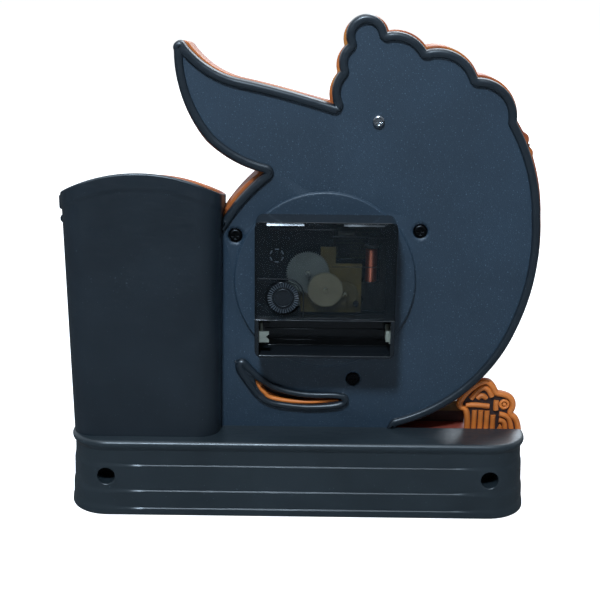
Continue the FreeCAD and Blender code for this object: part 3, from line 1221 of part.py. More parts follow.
# A small catch beside the rim holds the two halves of the cup together.
CLIP_TOP = "rim_rear_height - clip_drop"
CLIP_INNER = "cup_centre + cup_foot_width / 2 + " + draft_at(CLIP_TOP)
clip = block("cup_clip",
             (CLIP_INNER, "base_seam - clip_depth / 2", CLIP_TOP + " - clip_height"),
             (CLIP_INNER + " + clip_width", "base_seam + clip_depth / 2", CLIP_TOP))
keep(clip, "cup_clip")


document.recompute()
for thing in document.Objects:
    if "Invalid" in thing.State or "Error" in thing.State:
        raise RuntimeError("%s did not rebuild" % thing.Label)
for piece in pieces:
    if piece.Shape.isNull() or not piece.Shape.isValid():
        raise RuntimeError("%s has no valid shape" % piece.Label)

os.makedirs("parts", exist_ok=True)
for piece in pieces:
    piece.Shape.exportStep(os.path.join("parts", piece.Label + ".step"))
print("%d pieces" % len(pieces))
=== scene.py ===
import json
import math

import bmesh
import bpy
from bpy.props import FloatProperty, FloatVectorProperty, IntProperty, PointerProperty
from mathutils import Matrix, Vector


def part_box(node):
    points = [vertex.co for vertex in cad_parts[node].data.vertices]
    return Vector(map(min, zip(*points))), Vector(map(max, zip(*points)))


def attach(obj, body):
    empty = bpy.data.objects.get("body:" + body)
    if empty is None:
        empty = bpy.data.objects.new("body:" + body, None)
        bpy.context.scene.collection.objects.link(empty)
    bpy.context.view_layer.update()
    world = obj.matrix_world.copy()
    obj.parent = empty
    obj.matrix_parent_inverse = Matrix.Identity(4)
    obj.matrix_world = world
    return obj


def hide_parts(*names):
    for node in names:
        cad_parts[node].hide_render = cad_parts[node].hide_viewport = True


bl_info = {
    "name": "Desk clock with pen cup",
    "version": (1, 0, 0),
    "blender": (4, 5, 0),
    "location": "3D View > Sidebar > Clock",
    "description": "Dresses the parts of a desk clock and sets up its stage",
    "category": "Object",
}

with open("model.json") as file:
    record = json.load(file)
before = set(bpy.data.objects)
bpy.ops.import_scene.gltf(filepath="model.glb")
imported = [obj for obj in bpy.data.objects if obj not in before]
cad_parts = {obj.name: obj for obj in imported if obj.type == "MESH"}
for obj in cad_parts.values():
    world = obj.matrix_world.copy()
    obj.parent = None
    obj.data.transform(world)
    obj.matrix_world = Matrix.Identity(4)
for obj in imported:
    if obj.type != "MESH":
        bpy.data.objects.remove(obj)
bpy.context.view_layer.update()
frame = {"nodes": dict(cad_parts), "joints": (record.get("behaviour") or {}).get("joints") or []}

MM = 0.001


def metres(*millimetres):
    return tuple(value * MM for value in millimetres)


def joint_place(name):
    """Where a joint's axis crosses the plane Y = 0."""
    joint = next(one for one in frame["joints"] if one["name"] == name)
    return Vector((joint["pos_m"][0], 0, joint["pos_m"][2]))


DIAL = joint_place("minute_spin")
KNOB = joint_place("knob_spin")


# Colours


def linear(text, alpha=1.0):
    """An sRGB hex colour as the linear values that Blender's sockets take."""
    values = []
    for start in (1, 3, 5):
        value = int(text[start:start + 2], 16) / 255
        values.append(value / 12.92 if value <= 0.04045 else ((value + 0.055) / 1.055) ** 2.4)
    return (*values, alpha)


def colour_setting(name, words, text):
    return FloatVectorProperty(name=name, description=words, default=linear(text), size=4,
                               subtype="COLOR", min=0, max=1)


def length_setting(name, words, millimetres):
    return FloatProperty(name=name, description=words, default=millimetres * MM, subtype="DISTANCE",
                         unit="LENGTH", min=0, precision=5)


class ClockColours(bpy.types.PropertyGroup):
    """The colours that a user of the clock would change."""

    field: colour_setting("Rear shell", "Spark eroded plastic of the rear shell", "#20313f")
    moulding: colour_setting("Cup and beads", "Smoother plastic of the cup and the beads", "#1a2127")
    base: colour_setting("Base", "Plastic of the base's rear half, a little paler than the cup", "#21282c")
    copper: colour_setting("Copper paint", "Main colour of the painted front mouldings", "#b5622a")
    copper_dark: colour_setting("Dark copper", "Colour in the hollows of the front mouldings", "#8a3a1e")
    copper_light: colour_setting("Light copper", "Colour of the rubbed high spots", "#b98236")
    movement: colour_setting("Movement", "Polished plastic of the movement's case", "#14171a")
    smoke: colour_setting("Smoked cover", "Tint of the cover over the wheels", "#12171a")
    dial: colour_setting("Dial", "Printed card of the dial", "#efe6cf")
    ink: colour_setting("Ink", "Numbers, marks and hands", "#17181b")
    second: colour_setting("Second hand", "Lacquer of the second hand", "#a3231b")
    # Dark brown that is painted shade: on the step's riser, which lies in shadow, behind the slot and on the
    # ornament's plate
    step: colour_setting("Step", "Dark brown step beside the body", "#33201f")
    terracotta: colour_setting("Base top", "Paint on the front half's top", "#7a3426")
    ornament: colour_setting("Ornament", "Orange brown paint of the scroll ornament", "#d4742c")
    olive: colour_setting("Step moulding", "Olive gold moulding on the step", "#6b5a2a")


class ClockSizes(bpy.types.PropertyGroup):
    """The sizes of the finer forms that lie on the frame's parts."""

    edge: length_setting("Edge rounding", "Rounding of the step, its moulding and the wave", 0.30)
    works_edge: length_setting("Works edge rounding", "Rounding of the movement's case and cover", 0.25)
    screw_edge: length_setting("Screw edge rounding", "Rounding of the screw heads", 0.12)
    hand_edge: length_setting("Hand edge rounding", "Rounding of the hour and minute hands", 0.16)
    bead: length_setting("Bead rounding", "Rounding of the bead along the outline", 1.30)
    slot_lip: length_setting("Slot lip rounding", "Rounding of the lip round the curved slot", 0.55)
    band_inset: length_setting("Band step", "How far each band of the base steps out", 0.42)
    lip_rounding: length_setting("Lip rounding", "Rounding of the base's upper lip", 1.60)
    band_rise: length_setting("Rim band", "How far the cup's rim band stands out", 0.30)
    band_height: length_setting("Rim band height", "Height of the cup's rim band", 7.6)
    wire: length_setting("Wire", "Thickness of the winding's wire, coarser than real", 0.22)
    tick_width: length_setting("Minute mark", "Width of a minute mark", 0.35)
    tick_length: length_setting("Minute mark length", "Length of a minute mark", 1.7)
    numeral: length_setting("Numeral height", "Height of the dial's numbers", 6.6)
    knob_ribs: IntProperty(name="Knob ribs", description="Ribs round the setting knob", default=36, min=8)


# Materials


def node(tree, kind, inputs=None, **settings):
    """Add a node, set its properties, and set or link its inputs."""
    made = tree.nodes.new(kind)
    for name, value in settings.items():
        setattr(made, name, value)
    for key, value in (inputs or {}).items():
        socket = made.inputs[key]
        if isinstance(value, bpy.types.NodeSocket):
            tree.links.new(value, socket)
        else:
            socket.default_value = value
    return made


def new_material(name):
    material = bpy.data.materials.new(f"{name}_finish")
    material.use_nodes = True
    material.node_tree.nodes.clear()
    return material, material.node_tree


def grain(tree, size, detail=2.0, distortion=0.0, stretch=(1, 1, 1)):
    """Noise on object coordinates whose lumps are about the given size in metres."""
    place = node(tree, "ShaderNodeTexCoord").outputs["Object"]
    place = node(tree, "ShaderNodeMapping", {"Vector": place, "Scale": stretch}).outputs["Vector"]
    return node(tree, "ShaderNodeTexNoise", {"Vector": place, "Scale": 1 / size, "Detail": detail,
                                             "Distortion": distortion}).outputs["Fac"]


# The Mix node's colour sockets by number, because its other sockets have the same names
MIX_FIRST, MIX_SECOND, MIX_RESULT = 6, 7, 2


def fade(tree, pattern, low, high, first, second, share=1.0):
    """From a first colour or number to a second, as a pattern rises from low to high. A share below 1
    stops a colour on its way to the second."""
    numbers = isinstance(first, (int, float))
    start, end = (first, second) if numbers else (0, share)
    factor = node(tree, "ShaderNodeMapRange", {"Value": pattern, "From Min": low, "From Max": high,
                                               "To Min": start, "To Max": end}).outputs["Result"]
    if numbers:
        return factor
    mixed = node(tree, "ShaderNodeMix", {"Factor": factor, MIX_FIRST: first, MIX_SECOND: second},
                 data_type="RGBA")
    return mixed.outputs[MIX_RESULT]


def shade(tree, relief=None, depth=0.0, **inputs):
    """The shader and the output, with a relief of a depth in metres where one is given. A keyword's
    underscores stand for the spaces in a socket's name."""
    named = {key.replace("_", " "): value for key, value in inputs.items()}
    if relief is not None:
        bump = node(tree, "ShaderNodeBump", {"Height": relief, "Distance": depth, "Strength": 1.0})
        named["Normal"] = bump.outputs["Normal"]
    shader = node(tree, "ShaderNodeBsdfPrincipled", named)
    node(tree, "ShaderNodeOutputMaterial", {"Surface": shader.outputs["BSDF"]})


def darker(colour, share):
    return (*[value * share for value in colour[:3]], colour[3])


def moulded(name, colour, roughness, grit, depth, cloud=25 * MM, drift=0.25, **more):
    """Moulded plastic: faint clouds in colour and gloss, and a fine skin texture of the tool."""
    material, tree = new_material(name)
    clouds = grain(tree, cloud, 3)
    skin = grain(tree, grit, 2)
    tint = fade(tree, clouds, 0.35, 0.65, darker(colour, 1 - drift), colour)
    gloss = fade(tree, clouds, 0.3, 0.7, roughness * 1.15, roughness * 0.85)
    shade(tree, skin, depth, Base_Color=tint, Roughness=gloss, **more)
    return material


def spark_eroded_abs(colours):
    """ABS from a spark eroded tool: a sandy skin, with pale flecks painted in as glints and the pits of its
    relief painted darker as shade.
    """
    material, tree = new_material("spark_eroded_abs")
    clouds = grain(tree, 30 * MM, 3)
    skin = grain(tree, 0.50 * MM, 3)
    flecks = grain(tree, 0.55 * MM, 1)
    tint = fade(tree, clouds, 0.35, 0.65, darker(colours.field, 0.82), colours.field)
    # Pale blue grey flecks: painted glints on the sandy skin
    pale = fade(tree, flecks, 0.65, 0.76, tint, linear("#647886"), 0.55)
    # Darker where the skin's relief is low: painted shade in its pits
    pit_shade = fade(tree, skin, 0.62, 0.36, pale, darker(colours.field, 0.55), 0.40)
    gloss = fade(tree, skin, 0.3, 0.7, 0.44, 0.60)
    shade(tree, skin, 0.09 * MM, Base_Color=pit_shade, Roughness=gloss, IOR=1.52)
    return material


def satin_abs(name, colour):
    """ABS from a stoned tool: smooth enough for soft long highlights, with faint handling scuffs."""
    material, tree = new_material(name)
    clouds = grain(tree, 28 * MM, 4)
    scuffs = grain(tree, 1.6 * MM, 4, 0.6, (0.25, 1, 1.3))
    dust = grain(tree, 0.5 * MM, 0)
    tint = fade(tree, clouds, 0.35, 0.65, darker(colour, 0.78), colour)
    dusty = fade(tree, dust, 0.82, 0.88, tint, linear("#7d8c98"), 0.25)
    gloss = fade(tree, scuffs, 0.35, 0.75, 0.32, 0.46)
    shade(tree, grain(tree, 0.8 * MM, 2), 0.012 * MM, Base_Color=dusty, Roughness=gloss, IOR=1.52)
    return material


def copper_paint(colours):
    """Sprayed copper paint over ABS: darker in patches, rubbed to ochre on others, fine mica flakes."""
    material, tree = new_material("copper_paint")
    clouds = grain(tree, 16 * MM, 4, 0.3)
    rubs = grain(tree, 9 * MM, 5, 0.8)
    flakes = grain(tree, 0.35 * MM, 1)
    tint = fade(tree, clouds, 0.32, 0.60, colours.copper_dark, colours.copper)
    warm = fade(tree, rubs, 0.56, 0.72, tint, colours.copper_light, 0.6)
    gloss = fade(tree, flakes, 0.3, 0.7, 0.40, 0.56)
    shade(tree, flakes, 0.02 * MM, Base_Color=warm, Metallic=0.18, Roughness=gloss)
    return material


def polished_abs(colours):
    """ABS from a polished tool: almost black, with crisp reflections and faint dust."""
    material, tree = new_material("polished_abs")
    dust = grain(tree, 0.6 * MM, 1)
    smear = grain(tree, 12 * MM, 2, 0.5)
    tint = fade(tree, dust, 0.80, 0.90, colours.movement, linear("#7c848c"), 0.08)
    gloss = fade(tree, smear, 0.35, 0.7, 0.10, 0.24)
    shade(tree, smear, 0.01 * MM, Base_Color=tint, Roughness=gloss, IOR=1.52)
    return material


def scuffed_abs():
    """The same black plastic painted grey as a painted highlight, so that small raised marks and ribs read as
    catching light: broad, pale highlights.
    """
    return moulded("scuffed_abs", linear("#3a4148"), roughness=0.35, grit=0.4 * MM, depth=0.01 * MM,
                   cloud=4 * MM, drift=0.4, IOR=1.52)


def smoked_styrene(colours):
    """Clear polystyrene with a smoke dye: the works show through it as if in dusk."""
    material, tree = new_material("smoked_styrene")
    gloss = fade(tree, grain(tree, 9 * MM, 3, 0.6), 0.3, 0.7, 0.03, 0.07)
    shade(tree, Base_Color=colours.smoke, Roughness=gloss, IOR=1.59, Alpha=0.36)
    material.surface_render_method = "BLENDED"
    return material


def clear_acrylic():
    """Cast acrylic of the lens: clear, with polish haze too faint to hide the dial."""
    material, tree = new_material("clear_acrylic")
    gloss = fade(tree, grain(tree, 20 * MM, 2), 0.3, 0.7, 0.02, 0.05)
    shade(tree, Base_Color=linear("#eef3f5"), Roughness=gloss, IOR=1.49, Alpha=0.07)
    material.surface_render_method = "BLENDED"
    return material


def acetal(name, text):
    """Unfilled acetal of small wheels: milky, soft at the edges, faint flow marks."""
    return moulded(name, linear(text), roughness=0.38, grit=0.9 * MM, depth=0.006 * MM, cloud=5 * MM,
                   drift=0.15, IOR=1.48, Subsurface_Weight=0.35, Subsurface_Radius=metres(0.8, 0.8, 0.7),
                   Subsurface_Scale=1.0)


def amber_styrene():
    """Undyed natural styrene of the wheel plate: honey yellow and slightly see-through."""
    return moulded("amber_styrene", linear("#7a6a3c"), roughness=0.32, grit=1.2 * MM, depth=0.008 * MM,
                   cloud=6 * MM, drift=0.3, IOR=1.59, Alpha=0.85)


def metal(name, text, roughness, mark, depth, stretch=(1, 1, 1)):
    """Bare or plated metal with fine marks. Stretch is their scale along each axis, so they run along
    the axis where it is lowest."""
    material, tree = new_material(name)
    marks = grain(tree, mark, 3, 0, stretch)
    tint = fade(tree, marks, 0.3, 0.7, darker(linear(text), 0.72), linear(text))
    gloss = fade(tree, marks, 0.3, 0.7, roughness * 0.8, roughness * 1.25)
    shade(tree, marks, depth, Base_Color=tint, Metallic=1.0, Roughness=gloss)
    return material


def stamped_iron():
    """Soft iron laminations: rolled, punched, grey and slightly dull."""
    return metal("stamped_iron", "#5e5e5b", roughness=0.38, mark=0.5 * MM, depth=0.01 * MM,
                 stretch=(1, 1, 0.1))


def nickel_plate():
    """Nickel on spring steel: warm grey white, with fine rolling lines."""
    return metal("nickel_plate", "#d3d6c8", roughness=0.52, mark=0.4 * MM, depth=0.006 * MM,
                 stretch=(0.15, 1, 1))


def zinc_plate():
    """Bright zinc on a steel screw: blue white, with faint crystal patches."""
    return metal("zinc_plate", "#cfd4da", roughness=0.22, mark=1.1 * MM, depth=0.01 * MM)


def black_oxide():
    """Oiled black oxide on steel screws: nearly black, rubbed grey on high spots."""
    return metal("black_oxide", "#2b2c2e", roughness=0.36, mark=0.6 * MM, depth=0.01 * MM)


def turned_brass():
    """Brass off a lathe: yellow, with close turning marks."""
    return metal("turned_brass", "#c9a24e", roughness=0.26, mark=0.3 * MM, depth=0.01 * MM,
                 stretch=(1, 4, 1))


def enamelled_copper():
    """Copper magnet wire under clear enamel: orange pink, brightest along each turn."""
    return metal("enamelled_copper", "#c06e54", roughness=0.44, mark=0.8 * MM, depth=0.008 * MM)


def bonded_ferrite():
    """Ferrite powder in nylon: dense charcoal with a matt skin."""
    return moulded("bonded_ferrite", linear("#26272a"), roughness=0.6, grit=0.3 * MM, depth=0.01 * MM)


def nylon():
    """Nylon of the winding's spool: dark, with a silky moulded skin."""
    return moulded("nylon", linear("#35332f"), roughness=0.45, grit=0.5 * MM, depth=0.008 * MM)


def laminate():
    """Paper laminate board with an etched copper pattern under green brown lacquer."""
    material, tree = new_material("board_laminate")
    place = node(tree, "ShaderNodeTexCoord").outputs["Object"]
    upright = node(tree, "ShaderNodeMapping", {"Vector": place, "Rotation": (math.pi / 2, 0, 0)})
    tracks = node(tree, "ShaderNodeTexBrick", {
        "Vector": upright.outputs["Vector"], "Scale": 1.0, "Mortar Size": 0.28 * MM, "Mortar Smooth": 0.1,
        "Brick Width": 3.4 * MM, "Row Height": 1.5 * MM}).outputs["Fac"]
    tint = node(tree, "ShaderNodeMix", {"Factor": tracks, MIX_FIRST: linear("#22241c"),
                                        MIX_SECOND: linear("#3a3a26")}, data_type="RGBA")
    gloss = fade(tree, grain(tree, 2 * MM), 0.3, 0.7, 0.25, 0.4)
    shade(tree, tracks, 0.04 * MM, Base_Color=tint.outputs[MIX_RESULT], Roughness=gloss)
    return material


def epoxy():
    """Poured black resin over the chip: glossy and slightly lumpy."""
    return moulded("epoxy", linear("#0f1012"), roughness=0.18, grit=2.2 * MM, depth=0.08 * MM)


def rubber():
    """Nitrile washer: black, matt and faintly dusty."""
    return moulded("rubber", linear("#1b1b1c"), roughness=0.75, grit=0.5 * MM, depth=0.02 * MM)


def printed_card(colours):
    """Coated card of the dial: warm white with a paper tooth."""
    return moulded("printed_card", colours.dial, roughness=0.62, grit=0.35 * MM, depth=0.01 * MM,
                   cloud=18 * MM, drift=0.06)


def printing_ink(colours):
    """Screen printed ink: dense, with a slightly raised, satin film."""
    return moulded("printing_ink", colours.ink, roughness=0.42, grit=0.3 * MM, depth=0.008 * MM)


def lacquer(name, colour):
    """Lacquered aluminium of the hands: even colour and a hard, clean gloss."""
    return moulded(name, colour, roughness=0.26, grit=1.5 * MM, depth=0.004 * MM, cloud=10 * MM, drift=0.1,
                   Coat_Weight=0.4)


def matt_paint(name, colour):
    """Brushed craft paint over moulded plastic: matt, with soft patches and brush marks."""
    material, tree = new_material(name)
    strokes = grain(tree, 1.4 * MM, 4, 0.4, (0.2, 1, 1))
    clouds = grain(tree, 11 * MM, 3)
    tint = fade(tree, clouds, 0.35, 0.65, darker(colour, 0.65), colour)
    gloss = fade(tree, strokes, 0.3, 0.7, 0.42, 0.6)
    shade(tree, strokes, 0.03 * MM, Base_Color=tint, Roughness=gloss)
    return material


LIBRARY = {}


def fill_library(colours):
    """Make every finish of the clock and keep it by its name."""
    made = [
        spark_eroded_abs(colours),
        satin_abs("satin_abs", colours.moulding),
        satin_abs("satin_base_abs", colours.base),
        copper_paint(colours),
        polished_abs(colours),
        scuffed_abs(),
        smoked_styrene(colours),
        clear_acrylic(),
        acetal("white_acetal", "#968e74"),
        acetal("grey_acetal", "#7a807a"),
        acetal("ochre_acetal", "#6b6040"),
        amber_styrene(),
        stamped_iron(),
        nickel_plate(),
        zinc_plate(),
        black_oxide(),
        turned_brass(),
        enamelled_copper(),
        bonded_ferrite(),
        nylon(),
        laminate(),
        epoxy(),
        rubber(),
        printed_card(colours),
        printing_ink(colours),
        lacquer("black_lacquer", colours.ink),
        lacquer("red_lacquer", colours.second),
        # A dark brown that is painted shade, on the step, behind the slot and on the ornament's plate
        matt_paint("shade_brown_paint", colours.step),
        matt_paint("terracotta_paint", colours.terracotta),
        matt_paint("ornament_paint", colours.ornament),
        matt_paint("olive_gold_paint", colours.olive),
    ]
    for material in made:
        LIBRARY[material.name.removesuffix("_finish")] = material


def finish(name):
    return LIBRARY[name]


# Mesh helpers


def add_piece(name, mesh, material, body, slot, *replaced):
    """Link a finished mesh as a piece that rides on a body. The slot is not used."""
    thing = bpy.data.objects.new(name, mesh)
    bpy.context.scene.collection.objects.link(thing)
    if not mesh.materials:
        mesh.materials.append(finish(material))
    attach(thing, body)
    if replaced:
        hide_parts(*replaced)
    return thing


SAME_PLACE = 0.001 * MM
FINE_EDGE = 0.1 * MM


def tidy_normals(shape):
    """Merge the points of a bmesh that coincide, and turn its faces outwards."""
    bmesh.ops.remove_doubles(shape, verts=shape.verts, dist=SAME_PLACE)
    bmesh.ops.recalc_face_normals(shape, faces=shape.faces)


def shade_smooth(mesh, sharp=32):
    """Smooth shading, in which edges sharper than an angle in degrees stay crisp."""
    mesh.shade_smooth()
    mesh.set_sharp_from_angle(angle=math.radians(sharp))


def to_mesh(shape, name, sharp=32):
    """Turn a bmesh into a smooth shaded mesh, and free the bmesh."""
    mesh = bpy.data.meshes.new(name)
    shape.to_mesh(mesh)
    shape.free()
    shade_smooth(mesh, sharp)
    return mesh


def evaluated(thing, name):
    """A plain mesh of what an object's modifiers make, and the object removed."""
    graph = bpy.context.evaluated_depsgraph_get()
    mesh = bpy.data.meshes.new_from_object(thing.evaluated_get(graph), preserve_all_data_layers=True,
                                           depsgraph=graph)
    mesh.name = name
    bpy.data.objects.remove(thing)
    return mesh


def with_modifiers(mesh, name, *modifiers):
    """Run modifiers, each (kind, settings), on a mesh and return the plain result."""
    thing = bpy.data.objects.new(name, mesh)
    bpy.context.scene.collection.objects.link(thing)
    for kind, settings in modifiers:
        modifier = thing.modifiers.new(kind.lower(), kind)
        for key, value in settings.items():
            setattr(modifier, key, value)
    return evaluated(thing, name)


def flat_faces_even(mesh, name):
    """Weighted normals keep large flat faces flat beside small roundings."""
    return with_modifiers(mesh, name, ("WEIGHTED_NORMAL", {"keep_sharp": True, "weight": 100}))


def node_shape(name):
    """A merged copy of a frame node's mesh."""
    shape = bmesh.new()
    shape.from_mesh(frame["nodes"][name].data)
    bmesh.ops.remove_doubles(shape, verts=shape.verts, dist=SAME_PLACE)
    bmesh.ops.dissolve_degenerate(shape, dist=SAME_PLACE, edges=shape.edges)
    return shape


def sharp_edges(shape, angle=30):
    limit = math.radians(angle)
    return [edge for edge in shape.edges if edge.is_manifold and edge.calc_face_angle(0) > limit]


def round_off(shape, edges, width, segments=3):
    """Round edges of a bmesh, where there are any."""
    if edges:
        bmesh.ops.bevel(shape, geom=edges, offset=width, offset_type="OFFSET", segments=segments,
                        profile=0.5, affect="EDGES", clamp_overlap=False)


def softened(node_name, name, material, slot, body, width, segments=2):
    """A frame node with its edges rounded a little, shown in the node's place."""
    shape = node_shape(node_name)
    round_off(shape, sharp_edges(shape), width, segments)
    mesh = flat_faces_even(to_mesh(shape, name), name)
    return add_piece(name, mesh, material, body, slot, node_name)


def profile_turn(profile, centre, steps=128):
    """A closed profile of (radius, y) points turned about an axis along Y through the centre."""
    shape = bmesh.new()
    rings = []
    for index in range(steps):
        turn = 2 * math.pi * index / steps
        across, up = math.cos(turn), math.sin(turn)
        rings.append([shape.verts.new((centre.x + radius * across, y, centre.z + radius * up))
                      for radius, y in profile])
    for index, ring in enumerate(rings):
        after = rings[(index + 1) % steps]
        for row in range(len(profile)):
            below = (row + 1) % len(profile)
            if profile[row][0] == 0 and profile[below][0] == 0:
                continue
            shape.faces.new((ring[row], after[row], after[below], ring[below]))
    bmesh.ops.remove_doubles(shape, verts=shape.verts, dist=SAME_PLACE)
    bmesh.ops.dissolve_degenerate(shape, dist=SAME_PLACE / 2, edges=shape.edges)
    bmesh.ops.recalc_face_normals(shape, faces=shape.faces)
    return shape


def arc_points(centre, radius, first, last, steps):
    """Points of (x, y) on an arc, angles in degrees."""
    turns = [math.radians(first + (last - first) * index / steps) for index in range(steps + 1)]
    return [(centre[0] + radius * math.cos(turn), centre[1] + radius * math.sin(turn)) for turn in turns]


def at_level(path, level):
    """Points of (x, z) in millimetres as places in metres at one level along Y."""
    return [(x * MM, level, z * MM) for x, z in path]


def tube(name, points, radius, closed=False, tapers=None, resolution=3):
    """A round bar along points, smooth between them, as a mesh. Tapers are shares of its radius."""
    curve = bpy.data.curves.new(name, "CURVE")
    curve.dimensions = "3D"
    curve.bevel_depth = radius
    curve.bevel_resolution = resolution
    curve.use_fill_caps = True
    spline = curve.splines.new("NURBS")
    spline.points.add(len(points) - 1)
    for index, point in enumerate(points):
        spline.points[index].co = (*point, 1)
        spline.points[index].radius = tapers[index] if tapers else 1
    spline.use_cyclic_u = closed
    spline.order_u = 3
    spline.use_endpoint_u = not closed
    spline.resolution_u = 6
    thing = bpy.data.objects.new(name, curve)
    bpy.context.scene.collection.objects.link(thing)
    mesh = evaluated(thing, name)
    mesh.shade_smooth()
    return mesh


def repeat_tree():
    """Geometry Nodes that copy a form Count times, each turned about Y and moved on from the last."""
    tree = bpy.data.node_groups.new("repeat_form", "GeometryNodeTree")
    face = tree.interface
    face.new_socket("Geometry", in_out="INPUT", socket_type="NodeSocketGeometry")
    face.new_socket("Count", in_out="INPUT", socket_type="NodeSocketInt")
    face.new_socket("Centre", in_out="INPUT", socket_type="NodeSocketVector")
    face.new_socket("Step", in_out="INPUT", socket_type="NodeSocketVector")
    face.new_socket("Turn", in_out="INPUT", socket_type="NodeSocketFloat")
    face.new_socket("Material", in_out="INPUT", socket_type="NodeSocketMaterial")
    face.new_socket("Geometry", in_out="OUTPUT", socket_type="NodeSocketGeometry")
    given = node(tree, "NodeGroupInput").outputs
    index = node(tree, "GeometryNodeInputIndex").outputs["Index"]
    along = node(tree, "ShaderNodeVectorMath", {0: given["Step"], 3: index}, operation="SCALE").outputs[0]
    place = node(tree, "ShaderNodeVectorMath", {0: along, 1: given["Centre"]}, operation="ADD").outputs[0]
    angle = node(tree, "ShaderNodeMath", {0: index, 1: given["Turn"]}, operation="MULTIPLY").outputs[0]
    turn = node(tree, "ShaderNodeCombineXYZ", {"Y": angle}).outputs[0]
    points = node(tree, "GeometryNodePoints", {"Count": given["Count"], "Position": place}).outputs[0]
    copies = node(tree, "GeometryNodeInstanceOnPoints",
                  {"Points": points, "Instance": given["Geometry"], "Rotation": turn}).outputs[0]
    real = node(tree, "GeometryNodeRealizeInstances", {"Geometry": copies}).outputs[0]
    painted = node(tree, "GeometryNodeSetMaterial", {"Geometry": real, "Material": given["Material"]})
    node(tree, "NodeGroupOutput", {"Geometry": painted.outputs[0]})
    return tree


def repeated(name, mesh, count, centre, material, step=(0, 0, 0), turn=0.0):
    """A form copied by the repeat tree, as one plain mesh. The form is modelled about its own centre."""
    tree = bpy.data.node_groups.get("repeat_form") or repeat_tree()
    thing = bpy.data.objects.new(name, mesh)
    bpy.context.scene.collection.objects.link(thing)
    modifier = thing.modifiers.new("repeat", "NODES")
    modifier.node_group = tree
    values = {"Count": count, "Centre": tuple(centre), "Step": tuple(step), "Turn": turn,
              "Material": finish(material)}
    for item in tree.interface.items_tree:
        if item.in_out == "INPUT" and item.name in values:
            modifier[item.identifier] = values[item.name]
    thing.update_tag()
    return evaluated(thing, name)


def cuboid(low, high, rounding=0.0, segments=2):
    """A box with rounded edges, as a bmesh."""
    shape = bmesh.new()
    bmesh.ops.create_cube(shape, size=1.0)
    low, high = Vector(low), Vector(high)
    for vertex in shape.verts:
        vertex.co = [(a + b) / 2 + v * (b - a) for a, b, v in zip(low, high, vertex.co)]
    if rounding:
        round_off(shape, list(shape.edges), rounding, segments)
    return shape


def slab(first, last):
    """A solid between two like rings of points, as a mesh with crisp edges."""
    shape = bmesh.new()
    ends = [[shape.verts.new(point) for point in ring] for ring in (first, last)]
    for index in range(len(first)):
        after = (index + 1) % len(first)
        shape.faces.new((ends[0][index], ends[0][after], ends[1][after], ends[1][index]))
    shape.faces.new(ends[0])
    shape.faces.new(list(reversed(ends[1])))
    bmesh.ops.recalc_face_normals(shape, faces=shape.faces)
    return to_mesh(shape, "slab", 12)


def prism(profile, left, right):
    """A closed (y, z) profile made solid from left to right along X."""
    return slab([(left, y, z) for y, z in profile], [(right, y, z) for y, z in profile])


def plate(outline, front, rear):
    """A closed (x, z) outline made solid from front to rear along Y."""
    return slab([(x, front, z) for x, z in outline], [(x, rear, z) for x, z in outline])


def joined(name, meshes, sharp=32):
    """Several meshes as one."""
    shape = bmesh.new()
    for mesh in meshes:
        shape.from_mesh(mesh)
    bmesh.ops.recalc_face_normals(shape, faces=shape.faces)
    return to_mesh(shape, name, sharp)


# The base and the cup are lofts round a rounded plan


BASE_WALL_SHARES = (0.02, 0.05, 0.10, 0.5, 0.90, 0.95, 0.98)
CUP_WALL_SHARES = tuple(index / 24 for index in range(1, 24))
SOFT_SHARE = 0.10
STEP_SHARES = (0.0, 0.25, 0.5, 0.75, 1.0)
ROUND_STEPS = 6


def plan_half(left, right, seam, far, radius, corner_steps, wall_shares):
    """Columns of (x, y, outward x, outward y, crispness) from the seam's right end round to its left.
    Crispness is 1 along the long wall and falls to 0 round the corners, where the tool was polished."""
    side = 1 if far > seam else -1
    columns = [(right, seam, 1.0, 0.0, 0.0)]
    inner = far - side * radius
    for corner, begin in (((right - radius, inner), 0), ((left + radius, inner), 90)):
        for index in range(corner_steps + 1):
            turn = math.radians(begin + 90 * index / corner_steps)
            x, y = math.cos(turn), side * math.sin(turn)
            columns.append((corner[0] + radius * x, corner[1] + radius * y, x, y, 0.0))
        if begin == 0:
            for share in wall_shares:
                crisp = min(1.0, min(share, 1 - share) / SOFT_SHARE)
                across = right - radius + (left - right + 2 * radius) * share
                columns.append((across, far, 0.0, float(side), crisp))
    columns.append((left, seam, -1.0, 0.0, 0.0))
    return columns


def loft(columns):
    """A closed shell of quads between columns of points, with a face over its top, foot and seam."""
    shape = bmesh.new()
    grid = [[shape.verts.new(point) for point in column] for column in columns]
    for left, right in zip(grid, grid[1:]):
        for row in range(len(left) - 1):
            shape.faces.new((left[row], right[row], right[row + 1], left[row + 1]))
    shape.faces.new([column[-1] for column in grid])
    shape.faces.new([column[0] for column in reversed(grid)])
    shape.faces.new(grid[0] + list(reversed(grid[-1])))
    tidy_normals(shape)
    return shape


def ease(share):
    """A smooth step from 0 to 1."""
    share = min(1.0, max(0.0, share))
    return share * share * (3 - 2 * share)


def quarter_turn(first=0):
    """The angles of a rounding from the given step on, in radians."""
    return [math.pi / 2 * index / ROUND_STEPS for index in range(first, ROUND_STEPS + 1)]


BASE_CORNER = 17 * MM
BASE_CORNER_STEPS = 14
BAND_TOPS = metres(3.1, 10.7, 21.8)
CRISP_STEP = 0.35 * MM
SOFT_STEP = 3.2 * MM
FOOT_ROUND = 0.5 * MM
WALL_TAPER = 1.1 * MM
LIP_HEIGHT = 3.9 * MM
LIP_SHARES = (0.0, 0.2, 0.4, 0.6, 0.8, 1.0)
LIP_SWELL_BELOW, LIP_SWELL_ABOVE = 0.8 * MM, 2.0 * MM
LIP_EDGE = 0.2 * MM


